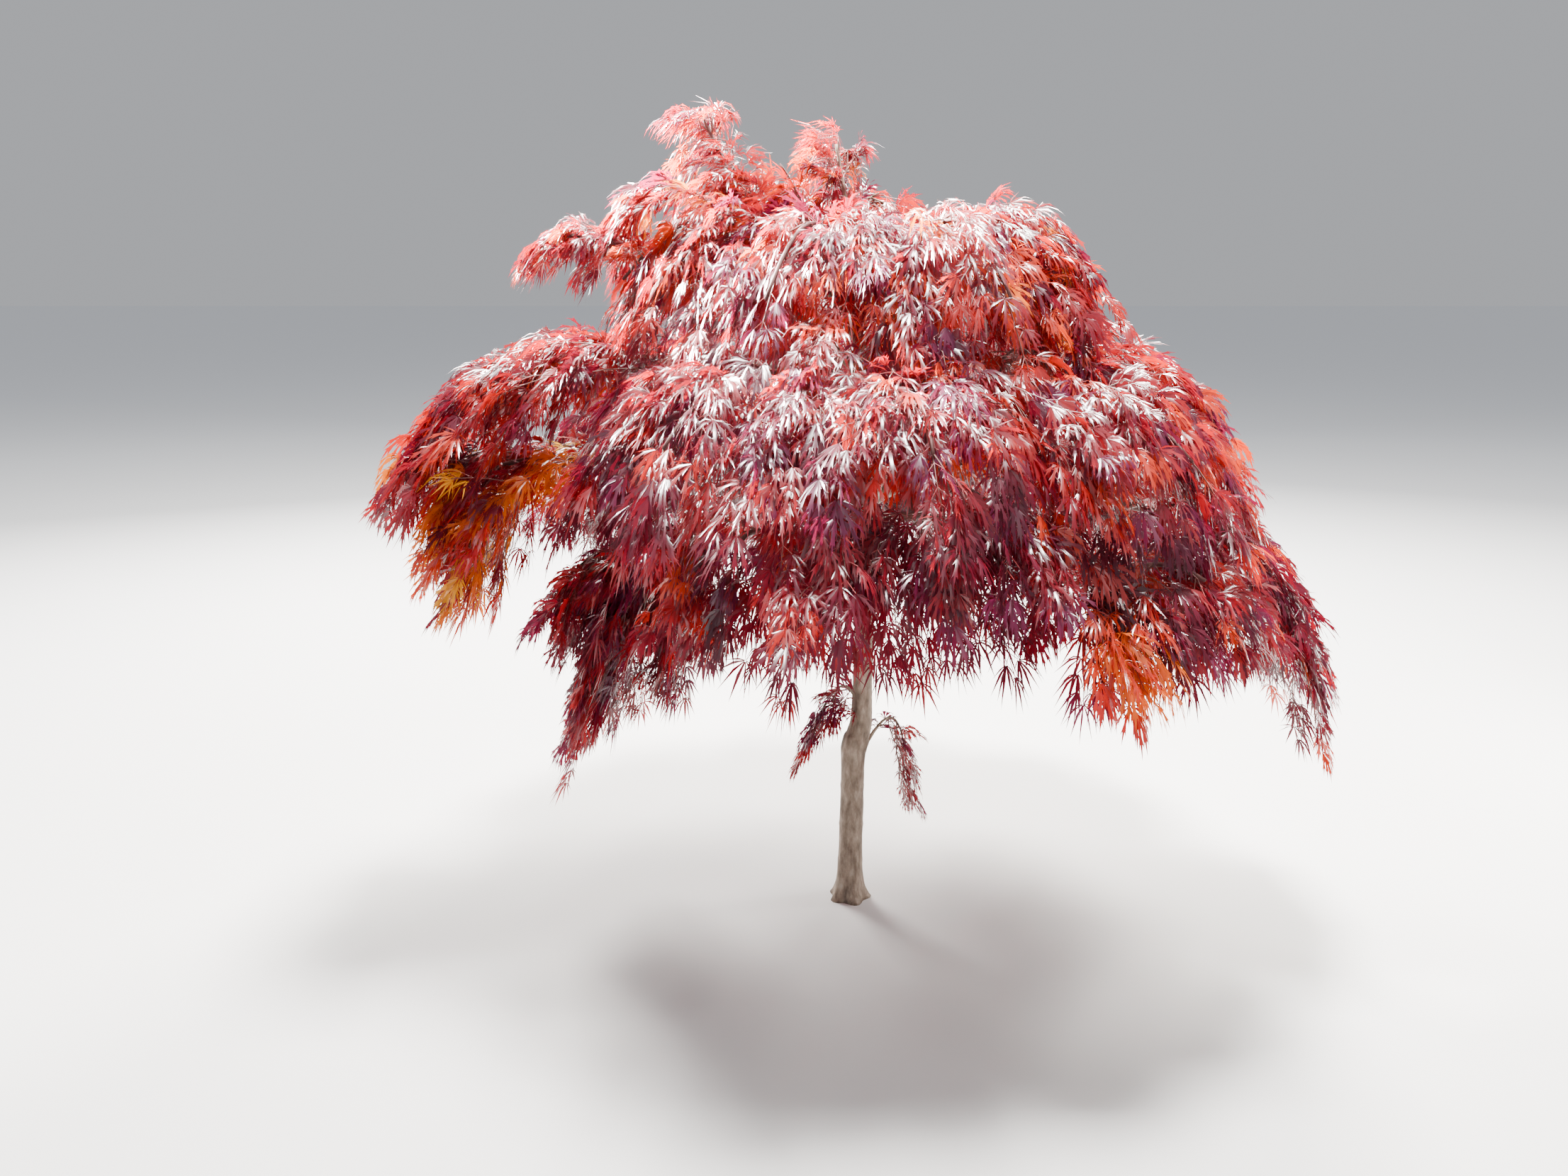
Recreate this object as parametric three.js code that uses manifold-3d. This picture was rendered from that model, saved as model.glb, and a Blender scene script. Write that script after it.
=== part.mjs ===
// A weeping laceleaf maple, grown as a low standard and rooted in the ground.
// One straight stem, grafted a third of the way up, carries boughs that arch out of its
// head. Every bough ends in a mass of finely cut red leaves that hangs like a fringe.
// Millimetres, +Z up. The origin is the middle of the flat cut under the stem, at ground
// level. +X is the right-hand side of the tree as seen from the front, and +Y is its back.

import * as THREE from 'three';
import { mergeVertices } from 'three/addons/utils/BufferGeometryUtils.js';
import Module from 'manifold-3d';

const wasm = await Module();
wasm.setup();

// Clearance between two pieces that touch on the real tree.
const GAP = 0.3;

// Slivers thinner than this are smoothed away where twigs and leaves are fused.
const SMOOTHING = 0.05;

// Two pieces are clear of each other when this share of the clearance lies between them.
const CLEAR_SHARE = 0.9;

// The first seed of the random growth. Every mass has a seed of its own.
const FIRST_SEED = 100;

// A direction this close to upright takes its sideways reference from +X.
const STEEP = 0.9;

// The stem: a stock with its root flare below the graft, and the thinner scion above it.
const TRUNK = {
  height: 985,
  sides: 12,
  footRadius: 36,
  flareHeight: 30,
  buttresses: 5,
  buttressDepth: 0.13,
  stockRadius: 21.5,
  scionRadius: 19,
  headRadius: 14,
  graftHeight: 320,
  graftLength: 26,
  graftStep: 13,
  graftSwell: 2.6,
  lean: 15,
  bow: 7,
  stations: [0, 14, 34, 64, 110, 185, 262, 296, 318, 342, 378, 500, 650, 800, 910, 985],
};

// Boughs of one tier leave the stem near one height. They thin from thick to thin.
// Stagger is how far apart neighbouring roots are set, so that they clear each other, and
// rise is how high a bough bends up for every riseReach that it reaches out.
const TIERS = {
  crown: { rootHeight: 925, stagger: 17, thick: 10, thin: 6, rise: 40 },
  middle: { rootHeight: 835, stagger: 22, thick: 12, thin: 7, rise: 60 },
  skirt: { rootHeight: 735, stagger: 24, thick: 13, thin: 8, rise: 130 },
  spray: { rootHeight: 950, stagger: 11, thick: 8, thin: 5, rise: 20 },
};
const BOUGH = { sides: 5, steps: 5, taper: 0.8, riseReach: 400, staggered: 4 };

// Masses of foliage: the bearing each grows towards, in degrees from +X over +Y, then the
// distance out and the height of its stem's start, of its crest and of its hanging tip,
// its half width, its number of leaves and the tint of its leaves.
const MASSES = [
  mass('crown_right', 'crown', 354, [110, 1165], [270, 1270], [442, 1095], 185, 11, 'scarlet'),
  mass('crown_back_right', 'crown', 52, [100, 1160], [250, 1268], [440, 1080], 195, 10, 'crimson'),
  mass('crown_back_left', 'crown', 118, [100, 1160], [245, 1290], [435, 1085], 195, 9, 'crimson'),
  mass('crown_left', 'crown', 184, [110, 1140], [270, 1262], [442, 1085], 165, 9, 'crimson'),
  mass('crown_front_left', 'crown', 242, [100, 1145], [245, 1252], [430, 1060], 185, 10, 'crimson'),
  mass('crown_front_right', 'crown', 300, [100, 1155], [255, 1258], [440, 1060], 185, 11, 'scarlet'),
  mass('spire', 'spray', 176, [185, 1190], [250, 1320], [300, 1400], 45, 8, 'scarlet'),
  mass('top_spray', 'spray', 150, [40, 1200], [62, 1290], [86, 1360], 45, 5, 'scarlet'),
  mass('left_spray', 'spray', 182, [360, 1150], [470, 1205], [570, 1190], 40, 6, 'scarlet'),

  mass('middle_right', 'middle', 2, [320, 985], [505, 1005], [680, 815], 215, 11, 'crimson'),
  mass('middle_back_right', 'middle', 46, [300, 975], [500, 1010], [680, 830], 225, 9, 'wine'),
  mass('middle_back', 'middle', 94, [290, 975], [480, 1010], [660, 840], 225, 8, 'wine'),
  mass('middle_back_left', 'middle', 142, [300, 975], [490, 1010], [670, 860], 220, 9, 'wine'),
  mass('left_shelf', 'middle', 188, [340, 985], [605, 1035], [840, 865], 195, 12, 'orange'),
  mass('middle_front_left', 'middle', 234, [290, 975], [450, 1010], [610, 880], 190, 10, 'crimson'),
  mass('middle_front', 'middle', 275, [280, 965], [450, 1015], [625, 890], 210, 11, 'crimson'),
  mass('middle_front_right', 'middle', 318, [300, 965], [485, 1000], [665, 850], 220, 11, 'crimson'),

  mass('skirt_right', 'skirt', 353, [440, 755], [665, 775], [830, 520], 185, 12, 'wine'),
  mass('skirt_back_right', 'skirt', 44, [420, 790], [610, 815], [735, 655], 225, 9, 'burgundy'),
  mass('skirt_back', 'skirt', 92, [400, 790], [590, 820], [720, 675], 225, 9, 'burgundy'),
  mass('skirt_back_left', 'skirt', 138, [420, 820], [600, 845], [725, 735], 215, 9, 'burgundy'),
  mass('skirt_left', 'skirt', 187, [450, 840], [630, 865], [735, 725], 165, 11, 'orange'),
  mass('lower_left', 'skirt', 172, [235, 690], [420, 668], [545, 395], 115, 14, 'burgundy'),
  mass('skirt_front_left', 'skirt', 238, [300, 765], [400, 795], [475, 700], 155, 10, 'wine'),
  mass('skirt_front', 'skirt', 276, [370, 810], [515, 865], [660, 800], 195, 11, 'wine'),
  mass('skirt_front_right', 'skirt', 316, [390, 680], [560, 765], [700, 705], 205, 12, 'wine'),

  mass('sprout_left', 'stem', 188, [0, 330], [45, 425], [110, 320], 30, 4, 'burgundy'),
  mass('sprout_right', 'stem', 28, [0, 300], [70, 350], [110, 200], 40, 5, 'burgundy'),
];

const CROWN_AXIS = { x: 24, y: 0 };

// The arch of a mass reaches its full width at widensUntil of its length. Its edges hang
// by a share of its half width. Its space is sampled in steps along and across it.
const ARCH = {
  widensUntil: 0.6,
  leastOut: 200,
  hang: 0.22,
  hangPower: 1.6,
  alongStep: 0.2,
  acrossStep: 0.5,
};

// Twigs and the stems of masses are three-sided, and each twig ends in a leaf.
const TWIG = {
  sides: 3,
  stemSteps: 5,
  stemReach: 0.92,
  straightBelow: 220,
  stemTip: 2.6,
  stemTaper: 0.6,
  sproutStem: 3,
  collar: 14,
  collarShare: 0.9,
  rootShare: 0.5,
  thin: 1,
  forkAt: 0.55,
  arch: 0.16,
  firstTarget: 0.14,
  alongStride: 0.7548776662,
  acrossStride: 0.569840291,
  alongPower: 0.8,
  innerDepth: 75,
  inward: 0.5,
  downward: 0.8,
  fullWidth: 200,
  headStart: 0.08,
  most: 90,
};

// A leaf is a fan of drooping lobes. Sizes are shares of its length. It wanders from its
// twig's direction, hangs, and tilts its upper face outwards. Each new attempt is smaller.
const LEAF = {
  length: { crown: 142, middle: 142, skirt: 142, spray: 100, stem: 75 },
  lobeAngles: [86, 42, 0, -42, -86],
  lobeReach: [0.56, 0.86, 1, 0.86, 0.56],
  notchReach: 0.38,
  heart: 0.13,
  halfThickness: 0.014,
  droop: 0.2,
  wander: 0.7,
  hang: [0.4, 1.1],
  outward: 0.8,
  tilt: 0.4,
  largest: 1.1,
  shrink: 0.5,
  vary: 0.1,
  middle: 0.3,
  attempts: 6,
  stalk: 4,
};

const BARK = { color: 0x8d7565, roughness: 0.82 };
const TINTS = {
  scarlet: { color: 0xb8382c, roughness: 0.42 },
  crimson: { color: 0x96242c, roughness: 0.42 },
  orange: { color: 0xb5522a, roughness: 0.45 },
  wine: { color: 0x6e1f2e, roughness: 0.46 },
  burgundy: { color: 0x501a28, roughness: 0.5 },
};

const UP = new THREE.Vector3(0, 0, 1);

function mass(name, tier, bearing, start, crest, tip, halfWidth, leaves, tint) {
  return { name, tier, bearing, start, crest, tip, halfWidth, leaves, tint };
}

// A small generator of repeatable random numbers between 0 and 1. Its shifts and its
// stride are the usual ones of a 32-bit mixing generator.
function seeded(seed) {
  const stride = 0x6d2b79f5;
  const states = 2 ** 32;
  let state = seed >>> 0;
  return () => {
    state = (state + stride) >>> 0;
    let value = Math.imul(state ^ (state >>> 15), state | 1);
    value = (value + Math.imul(value ^ (value >>> 7), value | 61)) ^ value;
    return ((value ^ (value >>> 14)) >>> 0) / states;
  };
}

// Solids

function solidFrom(positions, faces) {
  const geometry = new THREE.BufferGeometry();
  geometry.setAttribute('position', new THREE.Float32BufferAttribute(positions, 3));
  geometry.setIndex(faces);
  const merged = mergeVertices(geometry);
  return new wasm.Manifold(new wasm.Mesh({
    numProp: 3,
    vertProperties: merged.attributes.position.array,
    triVerts: Uint32Array.from(merged.index.array),
  }));
}

// A closed tube through a list of points, with its radius given at each point.
// shape(angle, ring) can swell the section.
function tube(points, radii, sides, shape = () => 1) {
  const positions = [];
  const faces = [];
  const last = points.length - 1;
  let across = null;
  points.forEach((point, ring) => {
    const before = points[Math.max(ring - 1, 0)];
    const after = points[Math.min(ring + 1, last)];
    const along = after.clone().sub(before).normalize();
    across ??= Math.abs(along.z) > STEEP ? new THREE.Vector3(1, 0, 0) : UP.clone();
    across = across.clone().addScaledVector(along, -across.dot(along)).normalize();
    const over = along.clone().cross(across);
    for (let side = 0; side < sides; side += 1) {
      const angle = (2 * Math.PI * side) / sides;
      const radius = radii[ring] * shape(angle, ring);
      const corner = point.clone()
        .addScaledVector(across, radius * Math.cos(angle))
        .addScaledVector(over, radius * Math.sin(angle));
      positions.push(corner.x, corner.y, corner.z);
    }
  });
  for (let ring = 0; ring < last; ring += 1) {
    for (let side = 0; side < sides; side += 1) {
      const next = (side + 1) % sides;
      const near = ring * sides;
      const far = near + sides;
      faces.push(near + side, near + next, far + next);
      faces.push(near + side, far + next, far + side);
    }
  }
  const top = last * sides;
  for (let side = 1; side < sides - 1; side += 1) {
    faces.push(0, side + 1, side);
    faces.push(top, top + side, top + side + 1);
  }
  return solidFrom(positions, faces);
}

// The largest closed body of a solid: loose scraps are dropped and sealed hollows filled.
function largestBody(solid) {
  const bodies = solid.decompose();
  return bodies.reduce((best, body) => (body.volume() > best.volume() ? body : best));
}

// Trunk

function trunkPoint(height) {
  const graft = THREE.MathUtils.smoothstep(
    height,
    TRUNK.graftHeight - TRUNK.graftLength,
    TRUNK.graftHeight + TRUNK.graftLength,
  );
  const share = height / TRUNK.height;
  return new THREE.Vector3(
    TRUNK.lean * share + TRUNK.graftStep * graft,
    TRUNK.bow * Math.sin(Math.PI * share),
    height,
  );
}

function trunkRadius(height) {
  const aboveGraft = Math.max(height - TRUNK.graftHeight, 0);
  const share = aboveGraft / (TRUNK.height - TRUNK.graftHeight);
  const scion = THREE.MathUtils.lerp(TRUNK.scionRadius, TRUNK.headRadius, share);
  const stem = height < TRUNK.graftHeight ? TRUNK.stockRadius : scion;
  const flare = (TRUNK.footRadius - TRUNK.stockRadius) * Math.exp(-height / TRUNK.flareHeight);
  const offGraft = (height - TRUNK.graftHeight) / TRUNK.graftLength;
  return stem + flare + TRUNK.graftSwell * Math.exp(-offGraft * offGraft);
}

function trunkSolid(extra = 0) {
  const buttress = (angle, ring) => {
    const depth = TRUNK.buttressDepth * Math.exp(-TRUNK.stations[ring] / TRUNK.flareHeight);
    return 1 + depth * Math.cos(TRUNK.buttresses * angle);
  };
  const points = TRUNK.stations.map(trunkPoint);
  const radii = TRUNK.stations.map((height) => trunkRadius(height) + extra);
  const round = tube(points, radii, TRUNK.sides, buttress);
  return extra > 0 ? round : round.trimByPlane([0, 0, 1], 0);
}

// Boughs

function crownPoint(bearing, out, height) {
  const angle = THREE.MathUtils.degToRad(bearing);
  return new THREE.Vector3(
    CROWN_AXIS.x + out * Math.cos(angle),
    CROWN_AXIS.y + out * Math.sin(angle),
    height,
  );
}

// An arch from one point to another that leaves in the direction of its control point.
function boughCurve(spec, order) {
  const tier = TIERS[spec.tier];
  const [out, height] = spec.start;
  const root = trunkPoint(tier.rootHeight + tier.stagger * (order % BOUGH.staggered));
  const end = crownPoint(spec.bearing, out, height);
  const bend = root.clone().lerp(end, 0.5);
  bend.z = Math.max(root.z, end.z) + tier.rise * (out / BOUGH.riseReach);
  return new THREE.QuadraticBezierCurve3(root, bend, end);
}

function boughSolid(curve, tier, extra = 0) {
  const points = curve.getPoints(BOUGH.steps);
  const radii = points.map((point, ring) => {
    const share = ring / BOUGH.steps;
    return THREE.MathUtils.lerp(tier.thick, tier.thin, share ** BOUGH.taper) + extra;
  });
  return tube(points, radii, BOUGH.sides);
}

// Foliage

// A mass arches over from its start to its tip. The point at share t along the arch and
// at s, from -1 to 1 across it, wraps round the crown, and its two edges hang lower.
function archPoint(spec, t, s) {
  const arc = (from, through, to) => {
    const bend = 2 * through - (from + to) / 2;
    return (1 - t) ** 2 * from + 2 * t * (1 - t) * bend + t * t * to;
  };
  const out = arc(spec.start[0], spec.crest[0], spec.tip[0]);
  const height = arc(spec.start[1], spec.crest[1], spec.tip[1]);
  const sideways = s * spec.halfWidth * Math.sqrt(Math.min(t / ARCH.widensUntil, 1));
  const turn = sideways / Math.max(out, ARCH.leastOut);
  const hang = ARCH.hang * Math.abs(s) ** ARCH.hangPower * spec.halfWidth * t;
  return crownPoint(spec.bearing + THREE.MathUtils.radToDeg(turn), out, height - hang);
}

// Every mass owns the space that lies nearer to its own arch than to any other.
const archSamples = MASSES.flatMap((spec) => {
  const samples = [];
  const rows = Math.round(1 / ARCH.alongStep);
  const columns = Math.round(2 / ARCH.acrossStep);
  for (let row = 0; row <= rows; row += 1) {
    for (let column = 0; column <= columns; column += 1) {
      const s = column * ARCH.acrossStep - 1;
      samples.push({ spec, point: archPoint(spec, row * ARCH.alongStep, s) });
    }
  }
  return samples;
});

function owner(point) {
  let nearest = archSamples[0];
  archSamples.forEach((sample) => {
    if (sample.point.distanceToSquared(point) < nearest.point.distanceToSquared(point)) {
      nearest = sample;
    }
  });
  return nearest.spec;
}

// A spray is one three-sided twig that ends in a leaf, made as a single closed form. The
// twig's end ring has a corner on each side and one below, and the leaf grows on from it.
// The leaf sags half straight down and half square to its own face.
function spraySolid(points, radii, { heading, lift }, length) {
  const side = lift.clone().cross(heading);
  const root = points[points.length - 1];
  const place = (reach, degrees) => {
    const angle = THREE.MathUtils.degToRad(degrees);
    const sag = LEAF.droop * reach * reach * length;
    return root.clone()
      .addScaledVector(heading, reach * length * Math.cos(angle))
      .addScaledVector(side, reach * length * Math.sin(angle))
      .addScaledVector(lift, -0.5 * sag)
      .addScaledVector(UP, -0.5 * sag);
  };

  const rings = [];
  let across = side;
  for (let ring = points.length - 1; ring >= 0; ring -= 1) {
    const along = ring === points.length - 1
      ? heading
      : points[ring + 1].clone().sub(points[ring]).normalize();
    across = across.clone().addScaledVector(along, -across.dot(along)).normalize();
    const over = along.clone().cross(across);
    rings.unshift([
      points[ring].clone().addScaledVector(across, radii[ring]),
      points[ring].clone().addScaledVector(across, -radii[ring]),
      points[ring].clone().addScaledVector(over, -radii[ring]),
    ]);
  }

  const lobes = [];
  LEAF.lobeAngles.forEach((angle, lobe) => {
    if (lobe > 0) {
      lobes.push(place(LEAF.notchReach, (angle + LEAF.lobeAngles[lobe - 1]) / 2));
    }
    lobes.push(place(LEAF.lobeReach[lobe], angle));
  });
  const heart = place(LEAF.heart, 0);
  const half = LEAF.halfThickness * length;
  const upper = heart.clone().addScaledVector(lift, half);
  const lower = heart.clone().addScaledVector(lift, -half);

  const faces = [[0, 2, 1]];
  for (let ring = 0; ring < rings.length - 1; ring += 1) {
    for (let corner = 0; corner < 3; corner += 1) {
      const near = 3 * ring + corner;
      const nearNext = 3 * ring + ((corner + 1) % 3);
      faces.push([near, nearNext, nearNext + 3], [near, nearNext + 3, near + 3]);
    }
  }
  const left = 3 * (rings.length - 1);
  const right = left + 1;
  const below = left + 2;
  const outline = [left, ...lobes.map((point, lobe) => below + 1 + lobe), right];
  const upperIndex = below + 1 + lobes.length;
  const lowerIndex = upperIndex + 1;
  for (let edge = 0; edge < outline.length - 1; edge += 1) {
    faces.push([upperIndex, outline[edge + 1], outline[edge]]);
    faces.push([lowerIndex, outline[edge], outline[edge + 1]]);
  }
  faces.push([upperIndex, left, right], [lowerIndex, right, below], [lowerIndex, below, left]);
  const corners = [...rings.flat(), ...lobes, upper, lower];
  return solidFrom(corners.flatMap((corner) => corner.toArray()), faces.flat());
}

// Where a twig of the mass is to end: an even spread over its arch, some of it further in.
function twigTarget(spec, order, random) {
  const along = (0.5 + order * TWIG.alongStride) % 1;
  const over = (0.5 + order * TWIG.acrossStride) % 1;
  const t = TWIG.firstTarget + (1 - TWIG.firstTarget) * along ** TWIG.alongPower;
  const s = 2 * over - 1;
  const point = archPoint(spec, t, s);
  const depth = TWIG.innerDepth * (spec.halfWidth / TWIG.fullWidth) * random() ** 2;
  const inward = new THREE.Vector3(CROWN_AXIS.x - point.x, CROWN_AXIS.y - point.y, 0);
  inward.normalize();
  point.addScaledVector(inward, TWIG.inward * depth);
  point.z -= TWIG.downward * depth;
  return { t, s, point };
}

// The new twig leaves the nearest node that lies nearer to the stem's start.
function nearestNode(nodes, target) {
  let best = nodes[0];
  let bestCost = Infinity;
  nodes.forEach((node) => {
    const cost = node.point.distanceTo(target.point) * (1 + Math.abs(node.s - target.s));
    if (node.t < target.t - TWIG.headStart && cost < bestCost) {
      best = node;
      bestCost = cost;
    }
  });
  return best;
}

// A leaf heads on from its twig and hangs, with its upper face outwards and upwards.
function leafFrame(point, towards, random) {
  const heading = towards.clone();
  heading.x += LEAF.wander * (random() - 0.5);
  heading.y += LEAF.wander * (random() - 0.5);
  heading.z -= THREE.MathUtils.lerp(...LEAF.hang, random());
  heading.normalize();
  const lift = new THREE.Vector3(point.x - CROWN_AXIS.x, point.y - CROWN_AXIS.y, 0);
  lift.normalize().multiplyScalar(LEAF.outward).add(UP);
  lift.x += LEAF.tilt * (random() - 0.5);
  lift.y += LEAF.tilt * (random() - 0.5);
  lift.addScaledVector(heading, -lift.dot(heading)).normalize();
  return { heading, lift };
}

// Everything that already stands, so that new twigs and leaves can keep clear of it. A
// spray has to clear the leaf at the end of the twig that carries it, but not that twig.
const standing = [];

function addStanding(solid, leaf = null) {
  const entry = { solid, leaf, box: solid.boundingBox() };
  standing.push(entry);
  return entry;
}

function isClear(solid, carrier) {
  const box = solid.boundingBox();
  return standing.every((entry) => {
    const other = entry === carrier ? entry.leaf : entry.solid;
    const apart = [0, 1, 2].some((axis) => (
      entry.box.min[axis] > box.max[axis] + GAP || entry.box.max[axis] < box.min[axis] - GAP
    ));
    return apart || other === null || solid.minGap(other, 2 * GAP) > CLEAR_SHARE * GAP;
  });
}

// The stem of a mass goes on from the end face of its bough, in the bough's own direction,
// and then follows the middle of the arch. A sprout's stem starts inside the trunk.
function stemOf(spec, boughTip, trunkHull) {
  const points = [];
  for (let step = 0; step <= TWIG.stemSteps; step += 1) {
    points.push(archPoint(spec, (TWIG.stemReach * step) / TWIG.stemSteps, 0));
  }
  const thick = boughTip ? boughTip.radius : TWIG.sproutStem;
  const nodes = points.map((point, step) => {
    const share = step / TWIG.stemSteps;
    return {
      t: TWIG.stemReach * share,
      s: 0,
      point,
      radius: THREE.MathUtils.lerp(thick, Math.min(TWIG.stemTip, thick), share ** TWIG.stemTaper),
    };
  });
  if (boughTip) {
    const { direction } = boughTip;
    const joint = points[0].clone().addScaledVector(direction, GAP);
    nodes[0].point.addScaledVector(direction, TWIG.collar);
    nodes.unshift({ t: 0, s: 0, point: joint, radius: thick });
  }
  const whole = tube(nodes.map((node) => node.point), nodes.map((node) => node.radius), TWIG.sides);
  const stem = boughTip ? whole : largestBody(whole.subtract(trunkHull));
  const carrier = addStanding(stem);
  nodes.forEach((node) => {
    node.carrier = carrier;
  });
  return { nodes, stem };
}

function twigPath(node, target) {
  const thick = Math.max(TWIG.rootShare * node.radius, TWIG.thin);
  const reach = node.point.distanceTo(target);
  if (reach < TWIG.straightBelow) {
    return { points: [node.point, target], radii: [thick, TWIG.thin] };
  }
  const bend = node.point.clone().lerp(target, 0.5);
  bend.z += TWIG.arch * reach;
  return { points: [node.point, bend, target], radii: [thick, (thick + TWIG.thin) / 2, TWIG.thin] };
}

function growMass(spec, seed, { nodes, stem }) {
  const random = seeded(seed);
  const small = spec.tier === 'stem';
  const length = LEAF.length[spec.tier];
  const pieces = [stem];

  // Adds the first spray that is clear of everything but the twig that carries it.
  const trySpray = (node, target) => {
    const { points, radii } = twigPath(node, target.point);
    const last = points.length - 1;
    const towards = points[last].clone().sub(points[last - 1]).normalize();
    for (let attempt = 0; attempt < LEAF.attempts; attempt += 1) {
      const frame = leafFrame(target.point, towards, random);
      const smaller = LEAF.shrink * (attempt / LEAF.attempts) + LEAF.vary * random();
      const size = length * (LEAF.largest - smaller);
      const middle = target.point.clone().addScaledVector(frame.heading, LEAF.middle * size);
      if (!small && owner(middle) !== spec) {
        continue;
      }
      const spray = spraySolid(points, radii, frame, size);
      if (isClear(spray, node.carrier)) {
        const stalk = target.point.clone().addScaledVector(frame.heading, -LEAF.stalk);
        const leaf = spraySolid([stalk, target.point], [TWIG.thin, TWIG.thin], frame, size);
        pieces.push(spray);
        nodes.push({
          t: target.t,
          s: target.s,
          point: points[last - 1].clone().lerp(points[last], TWIG.forkAt),
          radius: THREE.MathUtils.lerp(radii[last - 1], radii[last], TWIG.forkAt),
          carrier: addStanding(spray, leaf),
        });
        return;
      }
    }
  };

  const end = nodes[nodes.length - 1];
  trySpray(end, { t: 1, s: 0, point: archPoint(spec, 1, 0) });
  for (let order = 0; order < TWIG.most && pieces.length <= spec.leaves; order += 1) {
    const target = twigTarget(spec, order, random);
    trySpray(nearestNode(nodes, target), target);
  }
  return largestBody(wasm.Manifold.union(pieces).simplify(SMOOTHING));
}

// Assembly

function addMesh(group, name, solid, look) {
  const { vertProperties, triVerts } = solid.getMesh();
  const geometry = new THREE.BufferGeometry();
  geometry.setAttribute('position', new THREE.Float32BufferAttribute(vertProperties, 3));
  geometry.setIndex(Array.from(triVerts));
  geometry.computeVertexNormals();
  const material = new THREE.MeshStandardMaterial({ ...look, metalness: 0 });
  const mesh = new THREE.Mesh(geometry, material);
  mesh.name = name;
  group.add(mesh);
}

const tree = new THREE.Group();
tree.name = 'weeping_laceleaf_maple';

const trunk = trunkSolid();
const trunkHull = trunkSolid(GAP);
addMesh(tree, 'trunk', trunk, BARK);
addStanding(trunk);

const boughTips = new Map();
const cutters = [trunkHull];
MASSES.filter((spec) => spec.tier !== 'stem').forEach((spec, order) => {
  const tier = TIERS[spec.tier];
  const curve = boughCurve(spec, order);
  const whole = boughSolid(curve, tier);
  const bough = largestBody(cutters.reduce((solid, cutter) => solid.subtract(cutter), whole));
  const name = `bough_${spec.name}`;
  addMesh(tree, name, bough, BARK);
  addStanding(bough);
  cutters.push(boughSolid(curve, tier, GAP));
  const [before, end] = curve.getPoints(BOUGH.steps).slice(-2);
  const direction = end.clone().sub(before).normalize();
  boughTips.set(spec.name, { radius: TWIG.collarShare * tier.thin, direction });
});

const stems = MASSES.map((spec) => stemOf(spec, boughTips.get(spec.name), trunkHull));
MASSES.forEach((spec, order) => {
  const foliage = growMass(spec, FIRST_SEED + order, stems[order]);
  addMesh(tree, spec.name, foliage, TINTS[spec.tint]);
});

export default tree;
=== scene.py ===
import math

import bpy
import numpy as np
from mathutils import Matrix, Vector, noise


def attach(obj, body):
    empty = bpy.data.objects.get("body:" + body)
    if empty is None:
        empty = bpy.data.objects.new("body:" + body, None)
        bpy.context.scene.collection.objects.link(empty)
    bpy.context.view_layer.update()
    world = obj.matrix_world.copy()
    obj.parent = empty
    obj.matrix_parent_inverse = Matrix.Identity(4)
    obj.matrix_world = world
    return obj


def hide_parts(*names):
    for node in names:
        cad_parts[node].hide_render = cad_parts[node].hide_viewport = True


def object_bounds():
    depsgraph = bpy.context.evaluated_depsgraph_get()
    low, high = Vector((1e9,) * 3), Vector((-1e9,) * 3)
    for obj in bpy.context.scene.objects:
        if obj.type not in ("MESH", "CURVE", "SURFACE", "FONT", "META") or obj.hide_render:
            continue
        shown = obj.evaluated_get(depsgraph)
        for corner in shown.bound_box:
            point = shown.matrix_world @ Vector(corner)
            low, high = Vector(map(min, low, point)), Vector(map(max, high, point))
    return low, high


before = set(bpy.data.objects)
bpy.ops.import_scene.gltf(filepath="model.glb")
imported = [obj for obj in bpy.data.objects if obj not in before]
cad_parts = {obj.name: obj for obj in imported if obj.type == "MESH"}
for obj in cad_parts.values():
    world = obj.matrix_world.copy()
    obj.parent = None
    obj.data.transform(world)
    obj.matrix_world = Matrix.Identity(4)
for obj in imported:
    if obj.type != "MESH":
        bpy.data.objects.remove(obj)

# A weeping laceleaf maple on a low grafted stem. The stem and the boughs are rebuilt with
# the relief of their bark. Twigs, sprays and leaves grow on from them by the same rule as
# the solids' do, carried on to finer twigs. Metres, +Z up, origin at the foot of the stem.

cad_low, cad_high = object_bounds()

MM = 0.001
TINY = 1e-12
UP = np.array([0.0, 0.0, 1.0])


def in_mm(**lengths):
    """Lengths given in millimetres, by their names."""
    return {name: length * MM for name, length in lengths.items()}


# The stem: a stock with its root flare below the graft, and the thinner scion above it.
TRUNK = {"buttresses": 5, "buttress_depth": 0.13} | in_mm(
    height=985,
    foot_radius=36,
    flare_height=30,
    stock_radius=21.5,
    scion_radius=19,
    head_radius=14,
    graft_height=320,
    graft_length=34,
    graft_step=13,
    graft_swell=2.6,
    lean=15,
    bow=7,
)
# Its mesh: sides, rings, the height of its rounded top, the angles of the rings there in
# degrees, and the count of points along it that leaves keep clear of.
TRUNK_SIDES = 64
TRUNK_RINGS = 180
TRUNK_CAP = 9 * MM
TRUNK_CAP_ANGLES = (25, 50, 70, 83)
TRUNK_CLEAR_POINTS = 60

# The bark's relief: slow lumps, fine upright ribs, raised pores, and the rings where
# leaves once stood. The lumps' grain is their smoothness, lacunarity and octaves.
BARK = {
    "lump_scale": 16,
    "lump_grain": (1.0, 2.0, 3),
    "rib_scale": 150,
    "rib_stretch": 0.12,
    "pore_scale": 130,
    "pore_stretch": 3.2,
    "pore_above": 0.34,
} | in_mm(lump=1.1, rib=0.55, pore=0.5, ring=0.7, ring_spacing=74, ring_width=3.5)

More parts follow.
